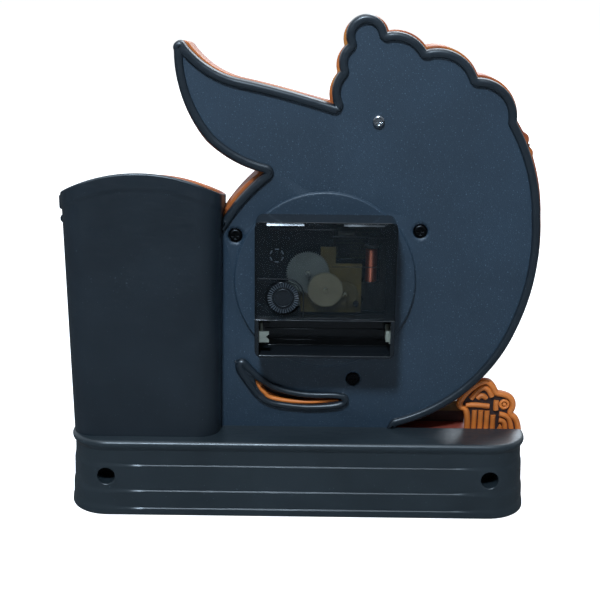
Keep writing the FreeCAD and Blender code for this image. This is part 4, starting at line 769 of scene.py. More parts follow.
def base_profile(sizes, top, crisp):
    """Rows of (inset, z): bands that step in as they rise, below a lip that swells out again."""
    rows = [(FOOT_ROUND, 0.0), (FOOT_ROUND * 0.3, FOOT_ROUND * 0.3), (0.0, FOOT_ROUND)]
    step = SOFT_STEP + (CRISP_STEP - SOFT_STEP) * crisp
    inset = 0.0
    for band in BAND_TOPS:
        for share in STEP_SHARES:
            rows.append((inset + sizes.band_inset * ease(share), band + step * (share - 0.5)))
        inset += sizes.band_inset
    lip = top - LIP_HEIGHT
    for share in LIP_SHARES:
        rows.append((inset * (1 - ease(share)),
                     lip + LIP_SWELL_ABOVE * share - LIP_SWELL_BELOW * (1 - share)))
    rounding = sizes.lip_rounding
    corner = top - rounding
    rows.append((0.0, corner - LIP_EDGE))
    for turn in quarter_turn(1):
        rows.append((rounding * (1 - math.cos(turn)), corner + rounding * math.sin(turn)))
    return [(out + WALL_TAPER * z / top, z) for out, z in rows]


def base_shell(sizes, node_name, name):
    """One half of the base, with its screw recesses where the rear half has them."""
    low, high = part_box(node_name)
    rear = low.y > 0
    seam, far = (low.y, high.y) if rear else (high.y, low.y)
    columns = []
    for x, y, nx, ny, crisp in plan_half(low.x, high.x, seam, far, BASE_CORNER, BASE_CORNER_STEPS,
                                         BASE_WALL_SHARES):
        columns.append([(x - nx * inset, y - ny * inset, z)
                        for inset, z in base_profile(sizes, high.z, crisp)])
    mesh = to_mesh(loft(columns), name)
    if rear:
        mesh = drilled(mesh, name)
    return flat_faces_even(mesh, name)


RECESS_RADIUS, RECESS_RIM_RADIUS = 3.7 * MM, 4.2 * MM
RECESS_FLOOR, RECESS_TOP, RECESS_RIM, RECESS_END = metres(17.8, 28.4, 28.95, 40)
BASE_SCREW_RADIUS = 2.9 * MM


def drilled(mesh, name):
    """Cut the two deep recesses for the screws that hold the base together."""
    low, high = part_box("base_screws")
    profile = [(0, RECESS_FLOOR), (RECESS_RADIUS, RECESS_FLOOR), (RECESS_RADIUS, RECESS_TOP),
               (RECESS_RIM_RADIUS, RECESS_RIM), (RECESS_RIM_RADIUS, RECESS_END), (0, RECESS_END)]
    drills = []
    for side in (-1, 1):
        centre = Vector((side * (high.x - BASE_SCREW_RADIUS), 0, (low.z + high.z) / 2))
        drills.append(to_mesh(profile_turn(profile, centre, 48), "drill"))
    holder = bpy.data.objects.new("drills", joined("drills", drills))
    bpy.context.scene.collection.objects.link(holder)
    cut = {"object": holder, "operation": "DIFFERENCE", "solver": "EXACT"}
    mesh = with_modifiers(mesh, name, ("BOOLEAN", cut))
    bpy.data.objects.remove(holder)
    shade_smooth(mesh)
    return mesh


CUP_LEFT, CUP_RIGHT = 32.7 * MM, 93.9 * MM
CUP_FRONT, CUP_REAR = -18.0 * MM, 23.0 * MM
CUP_SEAM_LIMIT = 15 * MM
CUP_CORNER, CUP_WALL = 9.0 * MM, 1.9 * MM
CUP_CORNER_STEPS = 10
CUP_ROW_SHARES = (0, 0.25, 0.5, 0.75, 0.97)
CUP_FLOOR = 34.7 * MM
CUP_FLOOR_ROUNDING = ((0, 2), (0.6, 0.5), (2, 0))
CUP_DRAFT_SHARE = 1.3 / 116.0
CUP_DRAFT_START = 30 * MM
CUP_INSIDE_ROW = 20 * MM
RIM_RADIUS = 65.0 * MM
RIM_REAR, RIM_FRONT = 142.8 * MM, 134.3 * MM
RIM_LIP = 0.7 * MM
RIM_BAND_SLOPE = 2.4 * MM


def rim_height(x, y):
    """The arched rim: highest over the cup's middle, and lower towards the front."""
    across = x - (CUP_LEFT + CUP_RIGHT) / 2
    share = (y - CUP_FRONT) / (CUP_REAR - CUP_FRONT)
    crown = RIM_FRONT + (RIM_REAR - RIM_FRONT) * share
    return crown - (RIM_RADIUS - math.sqrt(RIM_RADIUS ** 2 - across ** 2))


def cup_column(sizes, x, y, nx, ny, foot):
    """Points up the outside, over the rounded lip and down the inside to the floor."""
    top = rim_height(x, y)
    band = top - sizes.band_height
    lip = top - RIM_LIP
    rows = [(0.0, foot + (band - foot) * share) for share in CUP_ROW_SHARES]
    rows += [(sizes.band_rise * ease(share), band + RIM_BAND_SLOPE * share) for share in STEP_SHARES]
    rows += [(sizes.band_rise - RIM_LIP * (1 - math.cos(turn)), lip + RIM_LIP * math.sin(turn))
             for turn in quarter_turn()]
    rows += [(-CUP_WALL + RIM_LIP * (1 - math.sin(turn)), lip + RIM_LIP * math.cos(turn))
             for turn in quarter_turn(1)]
    rows.append((-CUP_WALL, top - CUP_INSIDE_ROW))
    rows += [(-CUP_WALL - inner * MM, CUP_FLOOR + rise * MM) for inner, rise in CUP_FLOOR_ROUNDING]
    points = []
    for out, z in rows:
        out += CUP_DRAFT_SHARE * (z - CUP_DRAFT_START)
        points.append((x + nx * out, y + ny * out, z))
    return points


def cup_shell(sizes, node_name, name):
    """One half of the pen cup, from its foot over the rim to its floor."""
    low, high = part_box(node_name)
    rear = high.y > CUP_SEAM_LIMIT
    seam, far = (low.y, CUP_REAR) if rear else (high.y, CUP_FRONT)
    plan = plan_half(CUP_LEFT, CUP_RIGHT, seam, far, CUP_CORNER, CUP_CORNER_STEPS, CUP_WALL_SHARES)
    shape = loft([cup_column(sizes, *column[:4], low.z) for column in plan])
    return flat_faces_even(to_mesh(shape, name), name)


# Operators, one for each piece or group


class CLOCK_OT_base(bpy.types.Operator):
    """Make the two halves of the ribbed base and finish its screws"""

    bl_idname = "clock.base"
    bl_label = "Base"

    def execute(self, context):
        sizes = context.scene.clock_sizes
        rear = base_shell(sizes, "base_rear_shell", "base_rear")
        add_piece("base_rear", rear, "satin_base_abs", "clock", "navy_abs", "base_rear_shell")
        front = base_shell(sizes, "base_front_shell", "base_front")
        add_piece("base_front", front, "terracotta_paint", "clock", "copper_paint", "base_front_shell")
        softened("base_screws", "base_screw_heads", "black_oxide", "black_screw", "clock", sizes.screw_edge)
        return {"FINISHED"}


LUG_LOW_SHIFT, LUG_HIGH_SHIFT = metres(-2.4, -1.0, -3.0), metres(-0.2, 1.0, -2.8)
LUG_ROUNDING = 1.1 * MM
HOOK_SHIFT = metres(-2.6, 0.4, -6.6)
HOOK_RADIUS, HOOK_WIRE = 1.4 * MM, 0.75 * MM


def shifted(point, shift):
    return [value + change for value, change in zip(point, shift)]


def cup_catch():
    """The lug at the rim's outer end and the small hook below it."""
    low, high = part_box("cup_clip")
    lug = to_mesh(cuboid(shifted(low, LUG_LOW_SHIFT), shifted(high, LUG_HIGH_SHIFT), LUG_ROUNDING, 4), "lug")
    centre = Vector(shifted((high.x, high.y, low.z), HOOK_SHIFT))
    ring = arc_points((centre.x, centre.z), HOOK_RADIUS, 0, 330, 11)
    hook = tube("hook", [(x, centre.y, z) for x, z in ring], HOOK_WIRE, True)
    add_piece("cup_catch", joined("cup_catch", [lug, hook]), "satin_abs", "clock", "navy_abs", "cup_clip")


# The strip of the front half's side that has the cup's own finish
CUP_SIDE_WIDTH = 1.0 * MM
CUP_SIDE_FRONT = -9 * MM
CUP_SIDE_FACING = -0.7


class CLOCK_OT_cup(bpy.types.Operator):
    """Make the pen cup's two halves and the catch at its rim"""

    bl_idname = "clock.cup"
    bl_label = "Pen cup"

    def execute(self, context):
        sizes = context.scene.clock_sizes
        rear = cup_shell(sizes, "cup_rear_shell", "cup_rear")
        add_piece("cup_rear", rear, "satin_abs", "clock", "navy_abs", "cup_rear_shell")
        front = cup_shell(sizes, "cup_front_shell", "cup_front")
        front.materials.append(finish("copper_paint"))
        front.materials.append(finish("satin_abs"))
        for face in front.polygons:
            place = face.center
            beside = place.x < CUP_LEFT + CUP_SIDE_WIDTH and place.y > CUP_SIDE_FRONT
            face.material_index = 1 if beside and face.normal.x < CUP_SIDE_FACING else 0
        add_piece("cup_front", front, "copper_paint", "clock", "copper_paint", "cup_front_shell")
        cup_catch()
        return {"FINISHED"}


def away_from_dial(place):
    return math.hypot(place.x - DIAL.x, place.z - DIAL.z)


SLOT_LIP_PATH = [(25.3, 59.8), (23.6, 62.0), (19.5, 57.0), (12.3, 51.2), (4.6, 48.4), (-4.9, 47.0),
                 (-17.8, 47.4), (-20.1, 44.9), (-17.8, 42.5), (-5.0, 41.4), (4.7, 42.2), (13.0, 43.6),
                 (18.1, 47.7), (21.9, 53.9)]
SLOT_LIP_TAPERS = [1.55, 1.45, 1.15] + [1.0] * 10 + [1.3]
SLOT_LIP_HEIGHT = 11.3 * MM
SLOT_LIP_RADIUS = 1.3 * MM
SLOT_WAVE_PATH = [(19.6, 55.0), (19.0, 52.6), (17.0, 51.2), (16.6, 48.8), (14.2, 47.2), (13.4, 45.6),
                  (9.6, 44.4), (2.7, 43.4), (-7.6, 43.3), (-16.8, 44.2)]
SLOT_WAVE_TAPERS = [0.6, 0.8, 0.9, 1.0, 1.0, 1.1, 1.1, 1.0, 0.9, 0.5]
SLOT_WAVE_DEPTH = 1.8 * MM
SLOT_WAVE_RADIUS = 0.95 * MM


def slot_lip():
    """A rounded roll round the curved slot, broad at its upper end, and the copper wave's crest in it."""
    path = at_level(SLOT_LIP_PATH, SLOT_LIP_HEIGHT)
    roll = tube("slot_roll", path, SLOT_LIP_RADIUS, True, SLOT_LIP_TAPERS, 5)
    add_piece("slot_roll", roll, "satin_abs", "clock", "navy_abs")
    crest = at_level(SLOT_WAVE_PATH, SLOT_LIP_HEIGHT - SLOT_WAVE_DEPTH)
    wave = tube("slot_crest", crest, SLOT_WAVE_RADIUS, False, SLOT_WAVE_TAPERS)
    add_piece("slot_crest", wave, "ornament_paint", "clock", "copper_paint")


BEAD_HEIGHT = 2.0 * MM
EDGE_RISE = 0.4 * MM
DISC_REACH, DISC_SKIN_REACH = 38 * MM, 37.5 * MM
LEVEL_SLACK = 0.05 * MM


def rear_shell(sizes):
    """The rear shell with its bead and slot lip rounded. The field and the disc have the sandy skin, and
    all else that lies above or below the field is smooth."""
    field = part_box("back_shell")[1].y - BEAD_HEIGHT
    slot_low, slot_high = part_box("slot_inlay")
    shape = node_shape("back_shell")
    tops = [edge for edge in sharp_edges(shape)
            if min(vertex.co.y for vertex in edge.verts) > field + EDGE_RISE
            and away_from_dial(edge.verts[0].co) > DISC_REACH]
    lip = [edge for edge in tops if slot_low.z - MM < edge.verts[0].co.z < slot_high.z + MM
           and slot_low.x - MM < edge.verts[0].co.x < slot_high.x + MM]
    lip_set = set(lip)
    bead = [edge for edge in tops if edge not in lip_set]
    round_off(shape, bead, sizes.bead, 4)
    lip = [edge for edge in lip if edge.is_valid]
    round_off(shape, lip, sizes.slot_lip, 3)
    mesh = to_mesh(shape, "rear_shell")
    mesh.materials.append(finish("spark_eroded_abs"))
    mesh.materials.append(finish("satin_abs"))
    for face in mesh.polygons:
        place = face.center
        raised = place.y > field + LEVEL_SLACK and away_from_dial(place) > DISC_SKIN_REACH
        smooth = place.y < field - LEVEL_SLACK or raised
        face.material_index = 1 if smooth else 0
    mesh = flat_faces_even(mesh, "rear_shell")
    add_piece("rear_shell", mesh, "spark_eroded_abs", "clock", "navy_abs", "back_shell")


class CLOCK_OT_rear_shell(bpy.types.Operator):
    """Round the rear shell's bead and lips, and give the smooth and the textured areas their finishes"""

    bl_idname = "clock.rear_shell"
    bl_label = "Rear shell"

    def execute(self, context):
        sizes = context.scene.clock_sizes
        rear_shell(sizes)
        slot_lip()
        # The dark brown panel behind the slot is painted shade, where the slot's interior lies in shadow
        softened("slot_inlay", "slot_back", "shade_brown_paint", "brown_inlay", "clock", FINE_EDGE)
        softened("slot_trim", "slot_wave", "copper_paint", "copper_paint", "clock", sizes.edge)
        softened("panel_screws", "panel_screw_heads", "black_oxide", "black_screw", "clock", sizes.screw_edge)
        softened("steel_screw", "bright_screw_head", "zinc_plate", "bright_screw", "clock", sizes.screw_edge)
        return {"FINISHED"}


LEAF_VEINS = [[(-8, 138), (-11, 158), (-17, 176), (-23, 194)],
              [(-25, 135), (-35, 152), (-47, 168), (-58, 180)],
              [(-38, 126), (-52, 139), (-66, 151), (-78, 160)],
              [(-47, 111), (-60, 119), (-72, 126), (-86, 131)],
              [(-50, 92), (-62, 92), (-74, 94), (-88, 96)],
              [(4, 135), (16, 150), (29, 164), (44, 181)],
              [(-44, 74), (-54, 68), (-62, 64), (-70, 62)]]
LEAF_EDGE = 0.4 * MM
VEIN_TAPERS = [0.75, 1.0, 0.75, 0.25]
VEIN_RADIUS = 1.5 * MM
VEIN_DEPTH = 0.2 * MM


def leaf_veins():
    """Raised veins that run from the bezel to the lobes and into the tail."""
    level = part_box("front_shell")[0].y + VEIN_DEPTH
    veins = [tube("vein", at_level(path, level), VEIN_RADIUS, False, VEIN_TAPERS) for path in LEAF_VEINS]
    add_piece("leaf_veins", joined("leaf_veins", veins), "copper_paint", "clock", "copper_paint")


# Where the front shell is drawn in: a place in millimetres, and the length over which it begins
CREST_FOOT = (146, 16)
CREST_LEFT = (-93, 9)
CREST_MIDDLE = (-48, 30)
TOP_LOBES_LEFT = (-42, 14)
TOP_LOBES_RIGHT = (6, 8)
TOP_LOBES_FOOT = (162, 8)
# How far: shares of the way to the dial's centre at the rear and added at the face, then millimetres
CREST_LEAST_SHARE = 0.25
CREST_PULL, CREST_PULL_AT_FACE = 0.014, 0.018
LOBE_SHIFT, LOBE_SHIFT_AT_FACE = 0.3 * MM, 1.2 * MM


def begins(value, start, length):
    """A smooth step from 0 at the start to 1 after the length, both in millimetres."""
    return ease((value - start * MM) / (length * MM))


def pulled_in(place, low, high):
    """The front shell is smaller than the rear one along the crest and the tail's top, and most so at
    its face. The right end keeps its place, because two small lobes stand out there."""
    depth = (high.y - place.y) / (high.y - low.y)
    share = begins(place.z, *CREST_FOOT) * begins(place.x, *CREST_LEFT)
    share *= CREST_LEAST_SHARE + (1 - CREST_LEAST_SHARE) * begins(place.x, *CREST_MIDDLE)
    amount = share * (CREST_PULL + CREST_PULL_AT_FACE * depth)
    beside = begins(place.x, *TOP_LOBES_LEFT) * begins(-place.x, *TOP_LOBES_RIGHT)
    aside = beside * begins(place.z, *TOP_LOBES_FOOT) * (LOBE_SHIFT + LOBE_SHIFT_AT_FACE * depth)
    return Vector((place.x + (DIAL.x - place.x) * amount - aside, place.y,
                   place.z + (DIAL.z - place.z) * amount))


def front_leaf():
    """The copper shell with its small lobes, drawn in along the crest and rounded."""
    low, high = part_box("front_shell")
    shape = node_shape("front_shell")
    for vertex in shape.verts:
        vertex.co = pulled_in(vertex.co, low, high)
    round_off(shape, sharp_edges(shape), LEAF_EDGE)
    mesh = flat_faces_even(to_mesh(shape, "front_leaf"), "front_leaf")
    add_piece("front_leaf", mesh, "copper_paint", "clock", "copper_paint", "front_shell")


# Places on the ornament as shares of its width from the right end, and of its height from its foot
ORNAMENT_RIM = [(0.245, 0.00), (0.245, 0.38), (0.105, 0.43), (0.125, 0.58), (0.28, 0.82), (0.48, 0.97),
                (0.59, 0.82), (0.62, 0.70), (0.74, 0.69), (0.86, 0.61), (0.89, 0.44), (0.83, 0.31),
                (0.96, 0.20), (0.98, 0.00)]
ORNAMENT_STEMS = [(0.335, 0.37), (0.425, 0.37), (0.515, 0.36), (0.605, 0.28)]
ORNAMENT_SPRAYS = [[(0.20, 0.47), (0.36, 0.48), (0.54, 0.45)],
                   [(0.27, 0.59), (0.38, 0.80), (0.51, 0.82), (0.57, 0.64)],
                   [(0.36, 0.60), (0.43, 0.71), (0.49, 0.60)],
                   [(0.64, 0.57), (0.63, 0.47), (0.64, 0.38)],
                   [(0.69, 0.30), (0.77, 0.29), (0.86, 0.18), (0.88, 0.00)],
                   [(0.69, 0.18), (0.75, 0.17), (0.785, 0.09), (0.79, 0.00)],
                   [(0.69, 0.06), (0.71, 0.05), (0.71, 0.00)]]
ORNAMENT_BOSS = (0.755, 0.49)
RIM_STROKE, SPRAY_STROKE, RING_STROKE = 1.3 * MM, 1.15 * MM, 0.65 * MM
BOSS_RING_RADIUS = 1.75 * MM
BOSS_PROFILE = [(0, -1.6), (0.5, -1.5), (0.85, -1.2), (0.85, 1.2), (0.5, 1.5), (0, 1.6)]
PLATE_HALF, REAR_STROKES = 0.5 * MM, 0.6 * MM


def scroll_strokes():
    """Rounded strokes on the ornament's dark plate: a rim, stems, sprays of arcs and a ringed boss. The
    plate's dark brown is painted shade in the gaps between the strokes.
    """
    low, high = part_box("scroll_ornament")
    wide, tall, middle = high.x - low.x, high.z - low.z, (low.y + high.y) / 2

    def spot(share):
        return (high.x - share[0] * wide, low.z + share[1] * tall)

    outline = [spot(share) for share in ORNAMENT_RIM]
    backing = plate(outline, middle - PLATE_HALF, middle + PLATE_HALF)
    # The plate is painted dark brown as shade between the strokes
    add_piece("scroll_plate", backing, "shade_brown_paint", "clock", "copper_paint", "scroll_ornament")
    paths = [(outline, RIM_STROKE, False)]
    paths += [([spot((across, 0)), spot((across, up / 2)), spot((across, up))], SPRAY_STROKE, False)
              for across, up in ORNAMENT_STEMS]
    paths += [([spot(share) for share in spray], SPRAY_STROKE, False) for spray in ORNAMENT_SPRAYS]
    boss = spot(ORNAMENT_BOSS)
    paths.append((arc_points(boss, BOSS_RING_RADIUS, 0, 330, 11), RING_STROKE, True))
    strokes = []
    for level in (middle - PLATE_HALF, middle + REAR_STROKES):
        for points, radius, closed in paths:
            strokes.append(tube("stroke", [(x, level, z) for x, z in points], radius, closed))
    turned = profile_turn([(radius * MM, middle + depth * MM) for radius, depth in BOSS_PROFILE],
                          Vector((boss[0], 0, boss[1])), 24)
    strokes.append(to_mesh(turned, "boss", 60))
    mesh = joined("scroll_strokes", strokes, 60)
    add_piece("scroll_strokes", mesh, "ornament_paint", "clock", "copper_paint")


class CLOCK_OT_front_shell(bpy.types.Operator):
    """Finish the copper front shell"""

    bl_idname = "clock.front_shell"
    bl_label = "Front shell"

    def execute(self, context):
        edge = context.scene.clock_sizes.edge
        front_leaf()
        leaf_veins()
        # The step block is painted dark brown all over, as painted shade on its riser, which lies in shadow
        softened("display_step", "display_step_block", "shade_brown_paint", "terracotta_paint", "clock", edge)
        softened("step_moulding", "step_gilt", "olive_gold_paint", "olive_gold_paint", "clock", edge)
        scroll_strokes()
        return {"FINISHED"}


COVER_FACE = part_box("movement_cover")[1].y
COVER_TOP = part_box("movement_cover")[1].z
STRIP_SPANS = ((-1.3, 13.2), (-32.7, -16.7))
STRIP_PROFILE = ((-1.2, -1.1), (0.3, -1.1), (0.3, -0.9), (-0.45, 0.3), (-1.2, 0.3))
COVER_RIBS = (((13.2, 122.1), (-13.5, 122.1)), ((-11.7, 119.4), (-31.3, 119.4)),
              ((-12.2, 107.3), (-31.3, 107.3)), ((15.3, 85.9), (5.5, 85.9)),
              ((-3.0, 85.8), (-20.6, 85.8)), ((-21.5, 85.5), (-28.0, 85.5)))
COVER_RIB_RADIUS = 0.17 * MM
POCKET_LINES = ((0.0, 0.26 * MM), (1.2, 0.15 * MM))
POCKET_SIDE, POCKET_TOP, POCKET_CORNER = -1.3, 102.0, 6.0
POCKET_ENDS = ((16.6, 10.0), (90.0, 86.4))
POCKET_TURNS = (110, 130, 150, 170, 180)


def cover_strips():
    """The two raised strips along the cover's top edge."""
    profile = [(COVER_FACE + out * MM, COVER_TOP + up * MM) for out, up in STRIP_PROFILE]
    strips = [prism(profile, left * MM, right * MM) for left, right in STRIP_SPANS]
    add_piece("cover_strips", joined("cover_strips", strips, 12), "polished_abs", "clock", "black_abs")


def pocket_path(inset):
    """The line round two sides of the knob's pocket, moved inwards by an inset in millimetres."""
    side, top, radius = POCKET_SIDE + inset, POCKET_TOP - inset, POCKET_CORNER - inset
    across, down = POCKET_ENDS
    path = [(x, top) for x in (*across, side + radius)]
    for turn in POCKET_TURNS:
        path.append((side + radius + radius * math.cos(math.radians(turn)),
                     top - radius + radius * math.sin(math.radians(turn))))
    return path + [(side, z) for z in down]


def cover_ribs():
    """The fine ribs on the smoked cover and the two lines round the knob's pocket."""
    lines = []
    for first, last in COVER_RIBS:
        middle = ((first[0] + last[0]) / 2, first[1])
        lines.append(tube("rib", at_level((first, middle, last), COVER_FACE), COVER_RIB_RADIUS))
    for inset, radius in POCKET_LINES:
        lines.append(tube("pocket", at_level(pocket_path(inset), COVER_FACE), radius))
    add_piece("cover_ribs", joined("cover_ribs", lines), "polished_abs", "clock", "black_abs")


MARK_LOW, MARK_HIGH, MARK_ROUNDING = metres(-0.75, -0.1, 2.35), metres(0.75, 0.14, 2.75), 0.08 * MM
MARK_RING_X, MARK_RING_Z = 9.3 * MM, 111.6 * MM
MARK_COUNT = 6


def cover_marks():
    """A ring of small raised marks on the cover, painted pale as a painted highlight."""
    mark = to_mesh(cuboid(MARK_LOW, MARK_HIGH, MARK_ROUNDING), "mark")
    ring = repeated("cover_marks", mark, MARK_COUNT, (MARK_RING_X, COVER_FACE, MARK_RING_Z), "scuffed_abs",
                    turn=math.radians(360 / MARK_COUNT))
    add_piece("cover_marks", ring, "scuffed_abs", "clock", "black_abs")


BAY_RIB_LOW, BAY_RIB_HIGH, BAY_RIB_ROUNDING = metres(-24.0, 0, 0), metres(24.0, 0.35, 0.5), 0.12 * MM
BAY_RIB_LEVEL, BAY_RIB_FIRST, BAY_RIB_STEP = metres(13.85, 72.6, 4.6)


def bay_ribs():
    """Three long ribs on the battery bay's back wall."""
    low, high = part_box("movement_case")
    bar = to_mesh(cuboid(BAY_RIB_LOW, BAY_RIB_HIGH, BAY_RIB_ROUNDING), "bay_rib")
    ribs = repeated("bay_ribs", bar, 3, ((low.x + high.x) / 2, BAY_RIB_LEVEL, BAY_RIB_FIRST), "polished_abs",
                    step=(0, 0, BAY_RIB_STEP))
    add_piece("bay_ribs", ribs, "polished_abs", "clock", "black_abs")


KNOB_RIB = ((0, 4.5), (0, 5.3), (0, 6.15))
KNOB_RIB_RADIUS = 0.20 * MM
KNOB_RING_RADIUS, KNOB_RING_WIDTH = 3.5 * MM, 0.14 * MM


def knob_grip(sizes):
    """Fine ribs round the setting knob's face, which catch the light at its sides, and a raised ring."""
    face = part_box("setting_knob")[1].y
    rib = tube("grip_rib", at_level(KNOB_RIB, 0), KNOB_RIB_RADIUS)
    # The ribs take the grey plastic as a painted highlight, beside the glints that their round shape catches
    ribs = repeated("knob_grip", rib, sizes.knob_ribs, (KNOB.x, face, KNOB.z), "scuffed_abs",
                    turn=2 * math.pi / sizes.knob_ribs)
    add_piece("knob_grip", ribs, "scuffed_abs", "knob", "black_abs")
    ring = [(x, face, z) for x, z in arc_points((KNOB.x, KNOB.z), KNOB_RING_RADIUS, 0, 345, 23)]
    mesh = tube("knob_ring", ring, KNOB_RING_WIDTH, True)
    add_piece("knob_ring", mesh, "satin_abs", "knob", "black_abs")


ARBOR_RADIUS = 0.95 * MM
ARBOR_CLEARANCE = 0.05 * MM
ARBOR_SHOULDER = 0.6 * MM
DOME_TURNS = (0, 0.3, 0.6, 0.9, 1.2)


def dome(radius, level, rise):
    """A dome's profile of (radius, y) from its edge at a level to its top. A rise below 0 faces forwards."""
    edge = [(radius * math.cos(turn), level + rise * math.sin(turn)) for turn in DOME_TURNS]
    return edge + [(0, level + rise)]


def arbor_ends():
    """Bright turned ends of three arbors, which show as small points through the cover."""
    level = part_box("movement_cover")[0].y - ARBOR_CLEARANCE - ARBOR_RADIUS
    profile = [(0, level - ARBOR_SHOULDER), (ARBOR_RADIUS, level - ARBOR_SHOULDER)]
    profile += dome(ARBOR_RADIUS, level, ARBOR_RADIUS)
    for joint, body in (("second_spin", "seconds"), ("third_spin", "third"),
                        ("intermediate_spin", "intermediate")):
        mesh = to_mesh(profile_turn(profile, joint_place(joint), 24), f"{body}_arbor_end", 60)
        add_piece(f"{body}_arbor_end", mesh, "nickel_plate", body, "bright_screw")


TURN_STEPS, WIRE_SIDES = 32, 6
WIRE_PITCH_SHARE = 0.92
SLEEVE_DEPTH_SHARE = 0.6


def wire_turn(radius, wire):
    """One closed turn of round wire about Z, with its outer edge at the radius."""
    shape = bmesh.new()
    rings = []
    for index in range(TURN_STEPS):
        turn = 2 * math.pi * index / TURN_STEPS
        row = []
        for side in range(WIRE_SIDES):
            tilt = 2 * math.pi * side / WIRE_SIDES
            out = radius - wire / 2 + wire / 2 * math.cos(tilt)
            row.append(shape.verts.new((out * math.cos(turn), out * math.sin(turn),
                                        wire / 2 * math.sin(tilt))))
        rings.append(row)
    for index, row in enumerate(rings):
        after = rings[(index + 1) % TURN_STEPS]
        for side in range(WIRE_SIDES):
            other = (side + 1) % WIRE_SIDES
            shape.faces.new((row[side], after[side], after[other], row[other]))
    bmesh.ops.recalc_face_normals(shape, faces=shape.faces)
    return to_mesh(shape, "turn", 60)


def coil_turns(sizes):
    """The winding as turns of wire on a sleeve, in place of the frame's plain sleeve."""
    low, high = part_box("coil_winding")
    centre = (low + high) / 2
    radius = (high.x - low.x) / 2
    wire = sizes.wire
    pitch = wire * WIRE_PITCH_SHARE
    count = int((high.z - low.z - wire) / pitch)
    start = (centre.x, centre.y, low.z + wire / 2)
    turns = repeated("coil_turns", wire_turn(radius, wire), count, start, "enamelled_copper",
                     step=(0, 0, pitch))
    sleeve = bmesh.new()
    inner = radius - wire * SLEEVE_DEPTH_SHARE
    bmesh.ops.create_cone(sleeve, cap_ends=True, segments=32, radius1=inner, radius2=inner,
                          depth=high.z - low.z)
    bmesh.ops.translate(sleeve, verts=sleeve.verts, vec=centre)
    mesh = joined("coil_wire", [turns, to_mesh(sleeve, "sleeve")])
    add_piece("coil_wire", mesh, "enamelled_copper", "clock", "copper_wire", "coil_winding")


def paint_node(name, material):
    """Give a frame node that keeps its own shape its finish."""
    slots = frame["nodes"][name].data.materials
    slots.clear()
    slots.append(finish(material))


WORKS_FINISHES = {
    "setting_knob": "polished_abs",
    "second_wheel": "white_acetal",
    "third_wheel": "grey_acetal",
    "intermediate_wheel": "ochre_acetal",
    "rotor": "bonded_ferrite",
    "minute_wheel": "white_acetal",
    "works_wheel": "grey_acetal",
    "hour_wheel": "white_acetal",
    "minute_pipe": "turned_brass",
    "train_bridge": "amber_styrene",
    "stator": "stamped_iron",
    "coil_core": "stamped_iron",
    "coil_bobbin": "nylon",
    "circuit_board": "board_laminate",
    "control_chip": "epoxy",
    "quartz_crystal": "nickel_plate",
    "battery_contact_positive": "nickel_plate",
    "battery_contact_negative": "nickel_plate",
    "movement_nut": "turned_brass",
    "movement_washer": "rubber",
}


class CLOCK_OT_movement(bpy.types.Operator):
    """Finish the movement: case, cover, knob, wheels, coil, board and contacts"""

    bl_idname = "clock.movement"
    bl_label = "Movement"

    def execute(self, context):
        sizes = context.scene.clock_sizes
        edge = sizes.works_edge
        softened("movement_case", "works_case", "polished_abs", "black_abs", "clock", edge)
        softened("movement_cover", "works_cover", "smoked_styrene", "smoked_styrene", "clock", edge)
        cover_strips()
        cover_ribs()
        cover_marks()
        bay_ribs()
        knob_grip(sizes)
        arbor_ends()
        coil_turns(sizes)
        for name, material in WORKS_FINISHES.items():
            paint_node(name, material)
        return {"FINISHED"}


CAP_RADIUS, CAP_RISE, CAP_FOOT = 1.7 * MM, 0.7 * MM, 0.1 * MM


def second_cap():
    """The domed brass cap over the second hand's boss."""
    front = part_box("second_hand")[0].y
    profile = [(0, front + CAP_FOOT), (CAP_RADIUS, front + CAP_FOOT)] + dome(CAP_RADIUS, front, -CAP_RISE)
    mesh = to_mesh(profile_turn(profile, DIAL, 40), "second_cap")
    add_piece("second_cap", mesh, "turned_brass", "seconds", "brass_nut")


BEZEL_OVERLAP = 2.2 * MM
BEZEL_SEAT_WALL = 1.0 * MM
BEZEL_BEVEL = (0.5 * MM, 0.3 * MM)
BEZEL_FILLET, BEZEL_BEAD = 0.9 * MM, 2.0 * MM
BEZEL_STEP, BEZEL_COVE = (1.4 * MM, 0.9 * MM), (2.9 * MM, 0.4 * MM)


def bezel():
    """A moulded ring: a bevel down to the lens, a cove and a round outer bead."""
    low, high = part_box("dial_bezel")
    lens_low, lens_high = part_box("dial_lens")
    outer = (high.x - low.x) / 2
    seat = (lens_high.x - lens_low.x) / 2
    opening, front = seat - BEZEL_OVERLAP, low.y
    profile = [(opening, lens_low.y), (opening, front + BEZEL_FILLET),
               (opening + BEZEL_BEVEL[0], front + BEZEL_BEVEL[1])]
    profile += arc_points((opening + BEZEL_STEP[0], front + BEZEL_STEP[1]), BEZEL_FILLET, -125, -60, 5)
    profile += arc_points((opening + BEZEL_COVE[0], front + BEZEL_COVE[1]), BEZEL_FILLET, 150, 60, 5)
    profile += arc_points((outer - BEZEL_BEAD, front + BEZEL_BEAD), BEZEL_BEAD, -120, 0, 10)
    wall = seat - BEZEL_SEAT_WALL
    profile += [(outer, high.y), (wall, high.y), (wall, lens_high.y), (seat, lens_high.y), (seat, lens_low.y)]
    mesh = to_mesh(profile_turn(profile, DIAL), "bezel", 40)
    add_piece("bezel", mesh, "copper_paint", "clock", "copper_paint", "dial_bezel")


MARK_FOOT, HOUR_MARK_FOOT = 29.6 * MM, 28.9 * MM
HOUR_MARK_SHARE = 1.4
PRINT_RISE, HOUR_PRINT_RISE, PRINT_DEPTH = 0.04 * MM, 0.05 * MM, 0.05 * MM
RING_INNER, RING_OUTER = 31.7 * MM, 31.95 * MM


